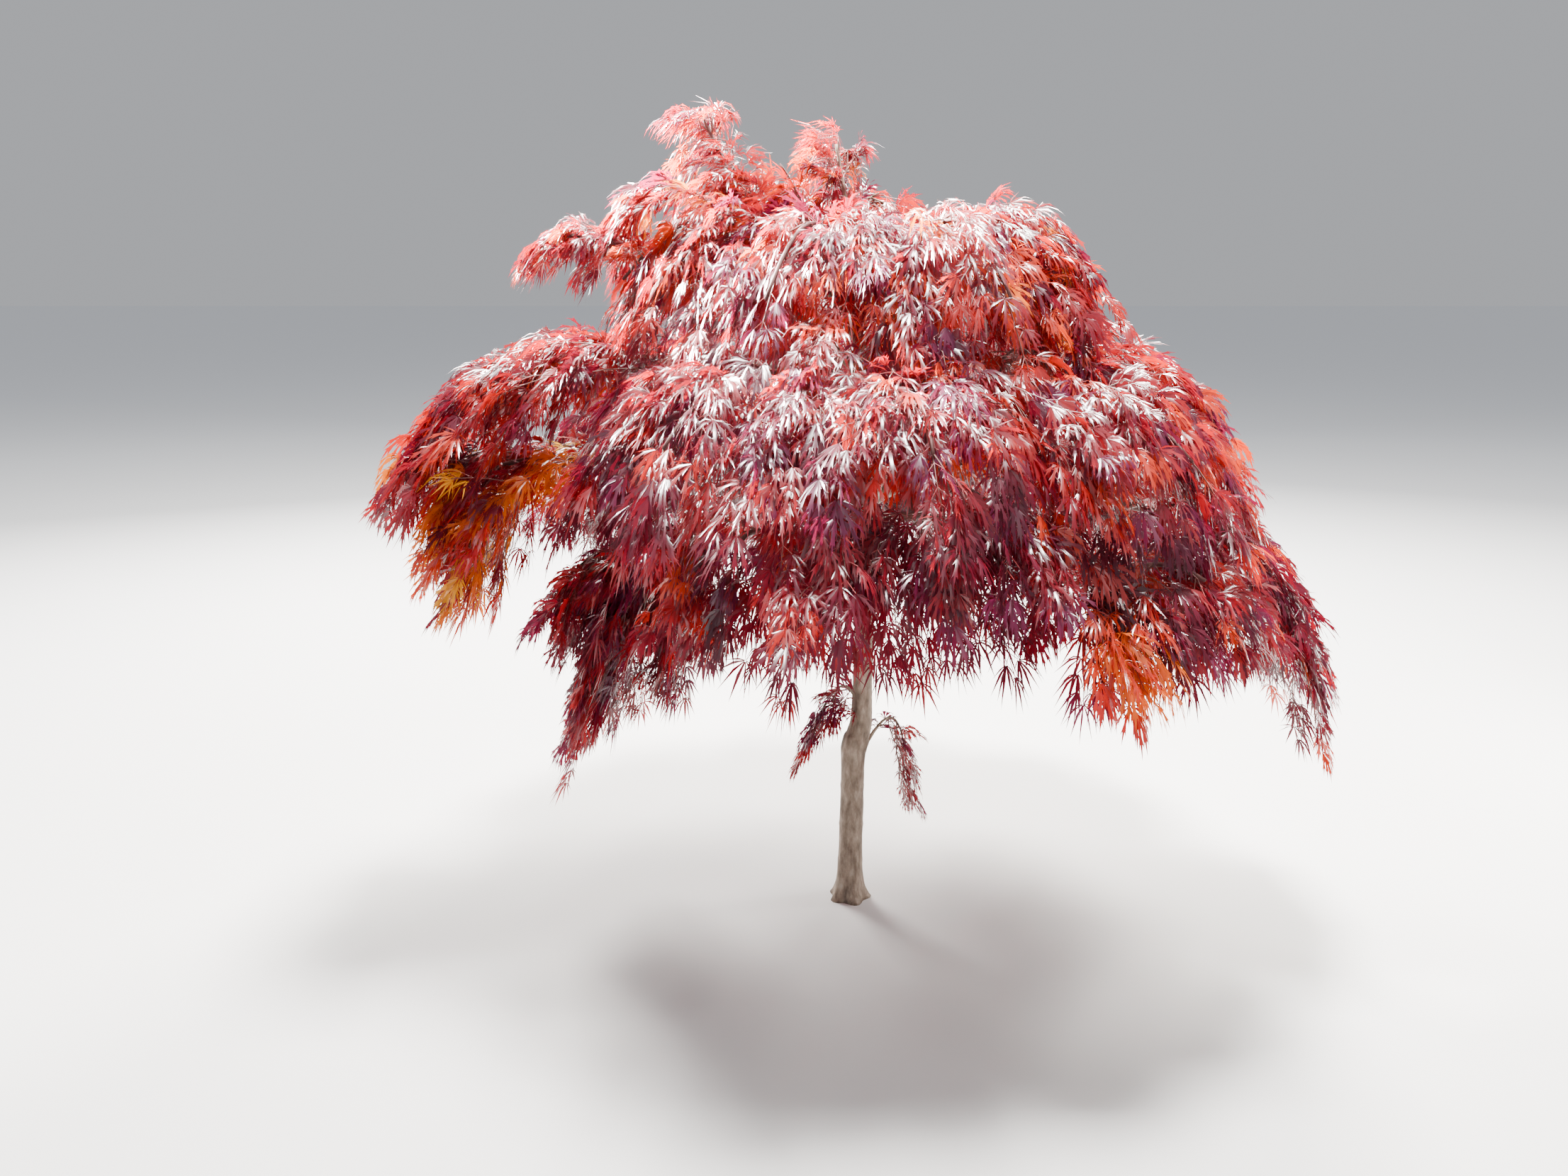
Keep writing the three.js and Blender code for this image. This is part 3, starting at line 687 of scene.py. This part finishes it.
def twig_targets(spec, count):
    """Where the twigs of a mass end: shares along and across its arch, points, and depths."""
    order = np.arange(count)
    along = (TWIG["first_share"] + order * TWIG["along_step"]) % 1
    over = (TWIG["first_share"] + order * TWIG["over_step"]) % 1
    t = lerp(TWIG["first_target"], TWIG["last_target"], along ** TWIG["along_power"])
    s = TWIG["widest"] * (2 * over - 1)
    deep = order % TWIG["deep_every"] == TWIG["deep_every"] - 1
    t = np.where(deep, lerp(TWIG["deep_first"], 1, t), t)
    t = t + TWIG["ragged"] * (2 * random.random(count) - 1)
    t = np.clip(t, TWIG["least_along"], TWIG["last_target"] + TWIG["ragged"])
    t[0] = TWIG["last_target"]
    s[0] = 0.0
    points = arch_points(spec, t, s)
    near_crest = np.sin(np.pi * np.clip(t, 0, 1))
    points[:, 2] -= TWIG["sunk"] * spec["half_width"] * near_crest
    at_crest, at_tip = TWIG["lifted"].get(spec["tier"], (0, 0))
    points[:, 2] += at_crest * near_crest + at_tip * t * t
    points, inward = drawn_in(spec, points, t)
    points += TWIG["bushy"].get(spec["name"], 0) * (2 * random.random((count, 3)) - 1)
    scale = spec["half_width"] / ARCH["least_out"] * TWIG["deeper"].get(spec["name"], 1)
    chance = random.random(count)
    depth = scale * np.where(
        deep,
        lerp(TWIG["deep_from"], TWIG["deep_to"], chance),
        TWIG["inner_depth"] * chance ** 2,
    )
    points += TWIG["depth_inward"] * depth[:, None] * inward
    points[:, 2] -= TWIG["depth_down"] * depth
    return t, s, points, depth, deep


def arch_area(spec):
    """Roughly the area of a mass's arch in square metres."""
    along = np.linspace(0, 1, ARCH["area_points"])
    line = arch_points(spec, along, 0 * along)
    length = np.linalg.norm(np.diff(line, axis=0), axis=1).sum()
    return ARCH["area_widths"] * spec["half_width"] * length


def grow(spec):
    """Twigs of one mass: their paths and radii, and the place and depth of each one's end."""
    fuller = SPRAY["fuller"].get(spec["name"], 1.0)
    by_area = int(SPRAY["per_square_metre"] * fuller * arch_area(spec))
    count = max(by_area, SPRAY["least"][spec["tier"]])
    t, s, targets, depth, deep = twig_targets(spec, count)
    stem_share = np.linspace(0, 1, STEM["nodes"] + 1)
    nodes = list(stem_points(spec, stem_share))
    node_t = list(STEM["reach"] * stem_share)
    node_s = [0.0] * len(nodes)
    thick = STEM["sprout"]
    if spec["tier"] in TIERS:
        thick = STEM["root_share"] * TIERS[spec["tier"]]["thin"]
    node_radius = list(lerp(thick, min(STEM["tip"], thick), stem_share ** STEM["taper"]))
    paths = []
    radii = []
    for index in range(count):
        apart = np.linalg.norm(np.array(nodes) - targets[index], axis=1)
        cost = apart * (1 + np.abs(np.array(node_s) - s[index]))
        cost = np.where(np.array(node_t) < t[index] - TWIG["head_start"], cost, np.inf)
        best = int(np.argmin(cost)) if np.isfinite(cost).any() else 0
        start = nodes[best]
        bend = (start + targets[index]) / 2 + UP * TWIG["arch"] * apart[best]
        path = bezier(start, bend, targets[index], TWIG["steps"])
        root = max(TWIG["root_share"] * node_radius[best], TWIG["thin"])
        paths.append(path)
        radii.append(np.linspace(root, TWIG["thin"], TWIG["steps"] + 1))
        fork = (path[-2] + path[-1]) / 2
        nodes.append(fork)
        node_t.append(t[index])
        node_s.append(s[index])
        node_radius.append(lerp(root, TWIG["thin"], TWIG["fork_at"]))
    return {
        "t": t,
        "depth": depth,
        "deep": deep,
        "targets": targets,
        "paths": np.array(paths),
        "radii": np.array(radii),
    }


def hanging_frames(spec, points, towards, t):
    """The heading and the upward side of sprays: they go on from their twig, and hang more
    towards the tip of the arch."""
    count = len(points)
    outward = np.zeros((count, 3))
    outward[:, :2] = points[:, :2] - CROWN_AXIS
    outward = unit(outward)
    heading = towards + HANG["outward"] * outward
    heading[:, :2] += HANG["sideways"] * off_middle((count, 2))
    down = HANG["at_start"] + HANG["towards_tip"] * t + HANG["by_chance"] * random.random(count)
    heading[:, 2] -= HANG["share"].get(spec["name"], 1) * down
    heading = unit(heading)
    lift = HANG["face_outward"] * outward + UP
    lift[:, :2] += HANG["face_sideways"] * off_middle((count, 2))
    lift = unit(lift - dot(lift, heading) * heading)
    return heading, lift


# Leaves

def is_plain(lobe, toothed):
    return not toothed or lobe in (0, len(LEAF["angles"]) - 1)


def leaf_template(toothed):
    """Triangles of one leaf, and the count of its corners. A full lobe has two teeth on each
    side. The outer two lobes have none, nor have those of a leaf deep inside. The corners of
    a lobe run from its foot to its tip, left and right in turn, and then round its teeth."""
    blade = [(0, 1, 3), (0, 3, 2), (2, 3, 5), (2, 5, 4), (4, 5, 6)]
    teeth = [(8, 7, 2), (3, 9, 10), (12, 11, 4), (5, 13, 14)]
    plain = [(0, 1, 3), (0, 3, 2), (2, 3, 4)]
    faces = []
    start = 0
    for lobe in range(len(LEAF["angles"])):
        shape = plain if is_plain(lobe, toothed) else blade + teeth
        faces += [tuple(corner + start for corner in face) for face in shape]
        start += PLAIN_LOBE_CORNERS if is_plain(lobe, toothed) else TOOTHED_LOBE_CORNERS
    return np.array(faces), start


def lobe_corners(base, first, width, length, sag, plain):
    """Corners of one lobe of every leaf. It starts along first and hangs more and more."""
    stations = LEAF["stations"]
    half_widths = LEAF["half_widths"]
    along = first
    centre = base + along * (stations[0] * length)
    corners = [centre + width * half_widths[0] * length, centre - width * half_widths[0] * length]
    edges = [corners[0], corners[1]]
    teeth = []
    end = len(stations) - 1
    steps = (1, end) if plain else range(1, end + 1)
    reached = stations[0]
    for step in steps:
        centre = centre + along * ((stations[step] - reached) * length)
        reached = stations[step]
        if step == end:
            corners.append(centre)
            break
        half = half_widths[step] * length
        left = centre + width * half
        right = centre - width * half
        corners += [left, right]
        if not plain:
            out = LEAF["tooth_out"][step - 1] * length
            on = LEAF["tooth_on"][step - 1] * length
            left_root = lerp(edges[0], left, LEAF["tooth_root"])
            right_root = lerp(edges[1], right, LEAF["tooth_root"])
            tip = centre + along * on - UP * (LEAF["tooth_sag"] * on)
            teeth += [left_root, tip + width * out, right_root, tip - width * out]
        edges = [left, right]
        along = unit(along - UP * sag)
        width = unit(width - dot(width, along) * along)
    return corners + teeth


def leaf_corners(base, heading, lift, length, toothed):
    """Corners of many leaves at once: (leaves, corners, 3)."""
    count = len(base)
    side = np.cross(lift, heading)
    spread = lerp(LEAF["spread"][0], LEAF["spread"][1], random.random((count, 1)))
    sag = lerp(LEAF["sag"][0], LEAF["sag"][1], random.random((count, 1)))
    corners = []
    for lobe, (angle, reach) in enumerate(zip(LEAF["angles"], LEAF["reach"])):
        turn = np.radians(angle * spread + LEAF["angle_jitter"] * off_middle((count, 1)))
        size = length * reach * (1 - LEAF["reach_jitter"] * random.random((count, 1)))
        first = unit(heading * np.cos(turn) + side * np.sin(turn) + LEAF["cup"] * lift)
        width = unit(np.cross(lift, first))
        roll = 2 * LEAF["roll"] * off_middle((count, 1))
        width = np.cos(roll) * width + np.sin(roll) * np.cross(first, width)
        corners += lobe_corners(base, first, width, size, sag, is_plain(lobe, toothed))
    return np.stack(corners, axis=1)


def stalked(root, towards, along, lift, leaf_length):
    """Leaves on stalks that leave root in the direction towards. A leaf turns back from it to
    the direction of its twig, and hangs. Gives the stalks, and each leaf's base, heading, lift
    and length."""
    count = len(root)
    length_share = STALK["shortest"] + STALK["longer"] * random.random((count, 1))
    stalk_length = STALK["length"] * length_share
    base = root + unit(towards - STALK["drop"] * UP) * stalk_length
    heading = lerp(towards, along, STALK["turn_back"])
    leaf_hang = STALK["leaf_hang"] + STALK["leaf_hang_more"] * random.random((count, 1))
    heading = unit(heading - leaf_hang * UP)
    tilted = lift + STALK["tilt"] * off_middle((count, 3))
    tilted = unit(tilted - dot(tilted, heading) * heading)
    roll = STALK["roll"] * (2 * random.random((count, 1)) - 1)
    tilted = np.cos(roll) * tilted + np.sin(roll) * np.cross(heading, tilted)
    length = leaf_length * lerp(LEAF["shortest"], 1.0, random.random((count, 1)))
    return np.stack([root, base], axis=1), base, heading, tilted, length


def turned(along, side, sign):
    """Directions to one side of a twig, or on from its end where the sign is 0."""
    count = len(along)
    angle = SPRAY["pair_angle"] + SPRAY["angle_jitter"] * off_middle((count, 1))
    turn = sign * np.radians(angle)
    return along * np.cos(turn) + side * np.sin(turn)


def spray_leaves(grown, heading, lift, length, leaf_length):
    """The leaves of a mass's sprays, the index of the spray that each belongs to, and the
    paths of the sprays' own fine twigs. The leaves along a twig count as one more spray, and
    so do the young ones at a spray's tip."""
    targets = grown["targets"]
    side = np.cross(lift, heading)

    def place(share):
        drop = SPRAY["droop"] * share * share * length
        return targets + heading * (share * length) - drop * (UP + lift) / 2

    of_spray = np.arange(len(targets))
    found = []
    places = [(share, sign) for share in SPRAY["pairs_at"] for sign in (1, -1)] + [(1.0, 0)]
    for share, sign in places:
        towards = unit(turned(heading, side, sign) + STALK["rise"] * lift)
        deal_of = of_spray + (2 * len(targets) if share > SPRAY["tip_from"] else 0)
        found.append((*stalked(place(share), towards, heading, lift, leaf_length), deal_of))
    reach = np.linalg.norm(grown["paths"][:, -1] - grown["paths"][:, 0], axis=1)
    leafy = np.flatnonzero(reach > TWIG["leafy_from"])
    for step in TWIG["pairs_at"]:
        root = grown["paths"][leafy, step]
        along = unit(grown["paths"][leafy, step + 1] - root)
        up = unit(lift[leafy] - dot(lift[leafy], along) * along)
        for sign in (1, -1):
            aside = turned(along, np.cross(up, along), sign)
            towards = unit(aside + STALK["rise_on_twig"] * up)
            found.append((*stalked(root, towards, along, up, leaf_length), leafy + len(targets)))
    twigs = np.stack([place(share) for share in np.linspace(0, 1, SPRAY["steps"] + 1)], axis=1)
    return [np.concatenate(rows) for rows in zip(*found)] + [twigs]


# Materials

def shader(material):
    return material.node_tree.nodes["Principled BSDF"]


def set_inputs(node, values):
    for name, value in values.items():
        node.inputs[name].default_value = value


def add_node(tree, kind, values):
    """A new node whose named inputs have these values."""
    node = tree.nodes.new(kind)
    set_inputs(node, values)
    return node


def add_ramp(tree, source, tones):
    """A colour ramp through these places and colours."""
    ramp = tree.nodes.new("ShaderNodeValToRGB")
    elements = ramp.color_ramp.elements
    for element, (position, colour) in zip(elements, (tones[0], tones[-1])):
        element.position = position
        element.color = (*colour, 1.0)
    for position, colour in tones[1:-1]:
        elements.new(position).color = (*colour, 1.0)
    tree.links.new(source.outputs["Fac"], ramp.inputs["Fac"])
    return ramp


def add_round_fall(tree, place, scale):
    """A value that falls from 1 at the origin to 0 where the scaled place is 1 away."""
    scaled = add_node(tree, "ShaderNodeMapping", {"Scale": scale})
    gradient = tree.nodes.new("ShaderNodeTexGradient")
    gradient.gradient_type = "SPHERICAL"
    tree.links.new(place.outputs["Object"], scaled.inputs["Vector"])
    tree.links.new(scaled.outputs["Vector"], gradient.inputs["Vector"])
    return gradient


def plain_material(name, colour, roughness, coat=0.0):
    material = bpy.data.materials.new(name)
    material.use_nodes = True
    look = {"Base Color": (*colour, 1.0), "Roughness": roughness, "Coat Weight": coat}
    set_inputs(shader(material), look)
    return material


def leaf_material(name, colour, glow, gloss):
    """A glossy leaf that lets some light through."""
    material = plain_material(name, colour, LEAF_LOOK["roughness"], LEAF_LOOK["coat"] * gloss)
    bsdf = shader(material)
    set_inputs(bsdf, LEAF_LOOK["gloss"])
    tree = material.node_tree
    through = add_node(tree, "ShaderNodeBsdfTranslucent", {"Color": (*glow, 1.0)})
    mix = add_node(tree, "ShaderNodeMixShader", {"Fac": LEAF_LOOK["through"]})
    tree.links.new(bsdf.outputs[0], mix.inputs[1])
    tree.links.new(through.outputs[0], mix.inputs[2])
    tree.links.new(mix.outputs[0], tree.nodes["Material Output"].inputs["Surface"])
    return material


def bark_material():
    """Mottled tan bark, which gives way to dark red young wood out along the limbs."""
    material = bpy.data.materials.new("bark")
    material.use_nodes = True
    tree = material.node_tree
    link = tree.links.new
    bsdf = shader(material)
    bsdf.inputs["Roughness"].default_value = BARK_LOOK["roughness"]
    place = tree.nodes.new("ShaderNodeTexCoord")
    stretch = add_node(tree, "ShaderNodeMapping", BARK_LOOK["stretch"])
    mottle = add_node(tree, "ShaderNodeTexNoise", BARK_LOOK["mottle"])
    grain = add_node(tree, "ShaderNodeTexNoise", BARK_LOOK["grain"])
    link(place.outputs["Object"], stretch.inputs["Vector"])
    link(stretch.outputs["Vector"], mottle.inputs["Vector"])
    link(stretch.outputs["Vector"], grain.inputs["Vector"])
    tones = add_ramp(tree, mottle, BARK_LOOK["tones"])
    per_reach = 1 / YOUNG_WOOD["all_from"]
    near_axis = add_round_fall(tree, place, (per_reach, per_reach, 0))
    age = add_ramp(tree, near_axis, ((0.0, BLACK), (YOUNG_WOOD["soft"], WHITE)))
    blend = tree.nodes.new("ShaderNodeMix")
    blend.data_type = "RGBA"
    blend.inputs[MIX["first"]].default_value = (*YOUNG_WOOD["colour"], 1.0)
    link(age.outputs["Color"], blend.inputs[MIX["share"]])
    link(tones.outputs["Color"], blend.inputs[MIX["second"]])
    link(blend.outputs[MIX["result"]], bsdf.inputs["Base Color"])
    bump = add_node(tree, "ShaderNodeBump", BARK_LOOK["bump"])
    link(grain.outputs["Fac"], bump.inputs["Height"])
    link(bump.outputs["Normal"], bsdf.inputs["Normal"])
    return material


# The stem and the limbs
bark = bark_material()
heights = np.linspace(0, TRUNK["height"] - TRUNK_CAP, TRUNK_RINGS)
cap_angles = np.radians(TRUNK_CAP_ANGLES)
cap_heights = TRUNK["height"] - TRUNK_CAP * (1 - np.sin(cap_angles))
centres = trunk_centre(np.concatenate([heights, cap_heights]))
radii = trunk_radius(np.concatenate([heights, cap_heights]))
radii[TRUNK_RINGS:] *= np.cos(cap_angles)


def buttress(angle, along):
    depth = TRUNK["buttress_depth"] * np.exp(-along / TRUNK["flare_height"])
    return 1 + depth * np.cos(TRUNK["buttresses"] * angle)


corners, faces = tube(centres, radii, TRUNK_SIDES, 1.0, buttress)
corners[:, 2] = np.maximum(corners[:, 2], 0)
corners[:TRUNK_SIDES, 2] = 0
add_piece("stem", corners, faces, bark, "bark", ["trunk"])

limbs = []
limb_points = [trunk_centre(np.linspace(0, TRUNK["height"], TRUNK_CLEAR_POINTS))]
order = 0
for spec in MASSES + SIDES:
    centres, radii = limb(spec, order)
    sides = LIMB["sprout_sides"] if is_small(spec) else LIMB["sides"]
    limbs.append(tube(centres, radii, sides, LIMB["relief"]))
    if not is_small(spec):
        order += 1
        limb_points.append(centres[:LIMB["bough_steps"]])
limb_points = np.concatenate(limb_points)
bough_nodes = ["bough_" + spec["name"] for spec in MASSES if spec["tier"] in TIERS]
add_piece("boughs", *join(limbs), bark, "bark", bough_nodes)

# Twigs, stalks and leaves
twig_parts = []
stalk_paths = []
leaf_sets = {name: [] for name in COLOURS}
templates = {toothed: leaf_template(toothed) for toothed in (True, False)}
box_low = np.array(cad_low) - OUTSIDE
box_high = np.array(cad_high) + OUTSIDE
box_low[2] = LOWEST_LEAF
leaf_nodes = {name: set() for name in COLOURS}
names = list(COLOURS)
centre_of_crown = np.array([CROWN_AXIS[0], CROWN_AXIS[1], CROWN_MIDDLE])


def shares(counts):
    """The share of each colour in a deal."""
    return np.array(counts) / sum(counts)


def deal(spec, points, depth):
    """The colour of each spray, by the tint of its mass, by how sunny its place is and by
    chance. This paints light and shade into the leaves' base colours: outer, upper and
    right-hand sprays stand in the sun and are dealt brighter colours as painted light, and deep
    sprays are dealt darker ones as painted shade. Masses of the tint orange are dealt by height
    instead."""
    shade, sun = DEALS[spec["tint"]]
    facing = dot(unit(points - centre_of_crown), unit(TO_SUN))[:, 0]
    sunny = SUNNY["base"] + SUNNY["facing"] * facing - SUNNY["depth"] * depth
    if spec["tint"] == "orange":
        sunny = (ORANGE["below"] - points[:, 2]) / ORANGE["over"]
    sunny = np.clip(sunny + SUNNY["by_chance"] * off_middle(len(points)), 0, 1)
    weights = lerp(shares(shade), shares(sun), sunny[:, None])
    for place, around in TURNED:
        is_near = np.linalg.norm(points - np.array(place), axis=1) < around
        weights[is_near] = shares(TURNED_DEAL)
    summed = np.cumsum(weights, axis=1)
    return (random.random((len(points), 1)) * summed[:, -1:] > summed).sum(axis=1)


for index, spec in enumerate(MASSES + SIDES):
    grown = grow(spec)
    targets = grown["targets"]
    towards = unit(grown["paths"][:, -1] - grown["paths"][:, -2])
    heading, lift = hanging_frames(spec, targets, towards, grown["t"])
    length = SPRAY["length"][spec["tier"]]
    leaf_length = LEAF["length"][spec["tier"]]
    middles = targets + heading * length * SPRAY["middle_at"]
    kept = np.full(len(targets), True) if is_small(spec) else owned(middles, index)
    kept &= nearest_limb(middles, limb_points) > TWIG["clear_of_limbs"]
    deals = [deal(spec, targets, grown["depth"])[kept] for _ in range(DEALS_EACH)]
    colours = np.concatenate(deals)
    twig_parts.append(fine_tubes(grown["paths"][kept], grown["radii"][kept], TWIG["sides"]))
    shown = {key: values[kept] for key, values in grown.items()}
    stalks, bases, headings, lifts, lengths, of_spray, twigs = spray_leaves(
        shown, heading[kept], lift[kept], length, leaf_length
    )
    spray_radii = np.linspace(TWIG["thin"], SPRAY["tip"], SPRAY["steps"] + 1)
    spray_radii = np.repeat(spray_radii[None], kept.sum(), axis=0)
    twig_parts.append(fine_tubes(twigs, spray_radii, TWIG["sides"]))
    leaf_colours = colours[of_spray]
    deep_leaves = np.tile(shown["deep"], DEALS_EACH)[of_spray]
    clear = nearest_limb(bases, limb_points) > TWIG["clear_of_limbs"]
    for toothed in (True, False):
        chosen = clear & (deep_leaves != toothed)
        leaves = leaf_corners(
            bases[chosen], headings[chosen], lifts[chosen], lengths[chosen], toothed
        )
        inside = ((leaves > box_low) & (leaves < box_high)).all(axis=(1, 2))
        stalk_paths.append(stalks[chosen][inside])
        leaves = leaves[inside]
        dealt = leaf_colours[chosen][inside]
        shape, corners_each = templates[toothed]
        for column, name in enumerate(names):
            these = leaves[dealt == column]
            if len(these):
                starts = (np.arange(len(these)) * corners_each)[:, None, None]
                faces = (shape[None] + starts).reshape(-1, 3)
                leaf_sets[name].append((these.reshape(-1, 3), faces))
                leaf_nodes[name].add(spec["name"])

mass_names = [spec["name"] for spec in MASSES]
twig_material = plain_material("twig", **TWIG_LOOK)
stalk_material = plain_material("stalk", **STALK_LOOK)
add_piece("twigs", *join(twig_parts), twig_material, "bark", mass_names)
stalk_paths = np.concatenate(stalk_paths)
stalk_radii = np.full(stalk_paths.shape[:2], STALK["radius"])
stalk_tubes = fine_tubes(stalk_paths, stalk_radii, STALK["sides"])
add_piece("leaf_stalks", *stalk_tubes, stalk_material, "leaf_crimson", mass_names)

for name, (colour, glow, gloss, slot) in COLOURS.items():
    leaves = join(leaf_sets[name])
    material = leaf_material("leaf_" + name, colour, glow, gloss)
    add_piece("leaves_" + name, *leaves, material, slot, sorted(leaf_nodes[name]))


# Floor, light and camera

def floor_material():
    """A pale floor that grows paler away from the tree: painted light where the lamps don't reach.
    """
    material = plain_material("floor", FLOOR["near"], FLOOR["roughness"])
    tree = material.node_tree
    place = tree.nodes.new("ShaderNodeTexCoord")
    near_tree = add_round_fall(tree, place, (1 / FLOOR["far_from"],) * 3)
    tones = ((0.0, FLOOR["far"]), (FLOOR["near_until"], FLOOR["near"]))
    ramp = add_ramp(tree, near_tree, tones)
    tree.links.new(ramp.outputs["Color"], shader(material).inputs["Base Color"])
    return material


half = FLOOR["half_size"]
floor_corners = [(-half, -half, 0), (half, -half, 0), (half, half, 0), (-half, half, 0)]
floor_mesh = bpy.data.meshes.new("floor")
floor_mesh.from_pydata(floor_corners, [], [(0, 1, 2, 3)])
floor_mesh.materials.append(floor_material())
floor = add_object("floor", floor_mesh)

world = bpy.data.worlds.new("studio")
world.use_nodes = True
studio_look = {"Color": (*STUDIO["colour"], 1.0), "Strength": STUDIO["strength"]}
set_inputs(world.node_tree.nodes["Background"], studio_look)
bpy.context.scene.world = world


def area_light(name, place, aim, size, power, colour, spread=180):
    """A square lamp that is aimed at a point, with its power in watts and its spread in
    degrees."""
    light = bpy.data.lights.new(name, "AREA")
    light.size = size
    light.spread = math.radians(spread)
    light.energy = power
    light.color = colour
    lamp = add_object(name, light)
    lamp.location = place
    lamp.rotation_euler = (Vector(aim) - Vector(place)).to_track_quat("-Z", "Y").to_euler()


# Two large lamps behind the tree and one above it make the leaves' gloss shine. A low one
# lights the stem, a faint one the front, and a narrow one the crown's upper left. Each row
# gives the lamp's place, aim, size, power and colour.
SUNLIGHT = (1.0, 0.96, 0.90)
area_light("key", (1.3, 2.5, 3.1), (0.1, 0, 0.95), 1.2, 760, SUNLIGHT)
area_light("second", (-1.6, 2.9, 2.7), (-0.25, 0, 1.0), 1.2, 650, (1.0, 0.96, 0.92))
area_light("low", (2.3, 0.5, 0.75), (0, 0, 0.42), 0.4, 45, SUNLIGHT)
area_light("fill", (-2.2, -3.0, 2.6), (0, 0, 0.8), 2.6, 35, (0.95, 0.97, 1.0))
area_light("left", (-2.1, 0.9, 2.7), (-0.24, -0.1, 1.34), 0.4, 80, (1.0, 0.97, 0.94), spread=18)
area_light("top", (0.25, -0.1, 3.9), (0.0, -0.1, 0.9), 0.9, 900, (1.0, 0.98, 0.95))

camera_data = bpy.data.cameras.new("camera")
camera_data.lens = CAMERA["lens"]
camera_data.sensor_width = CAMERA["sensor_width"]
camera = add_object("camera", camera_data)
camera.location = CAMERA["place"]
camera.rotation_euler = (math.radians(90 - CAMERA["pitch_down"]), 0, 0)
bpy.context.scene.camera = camera
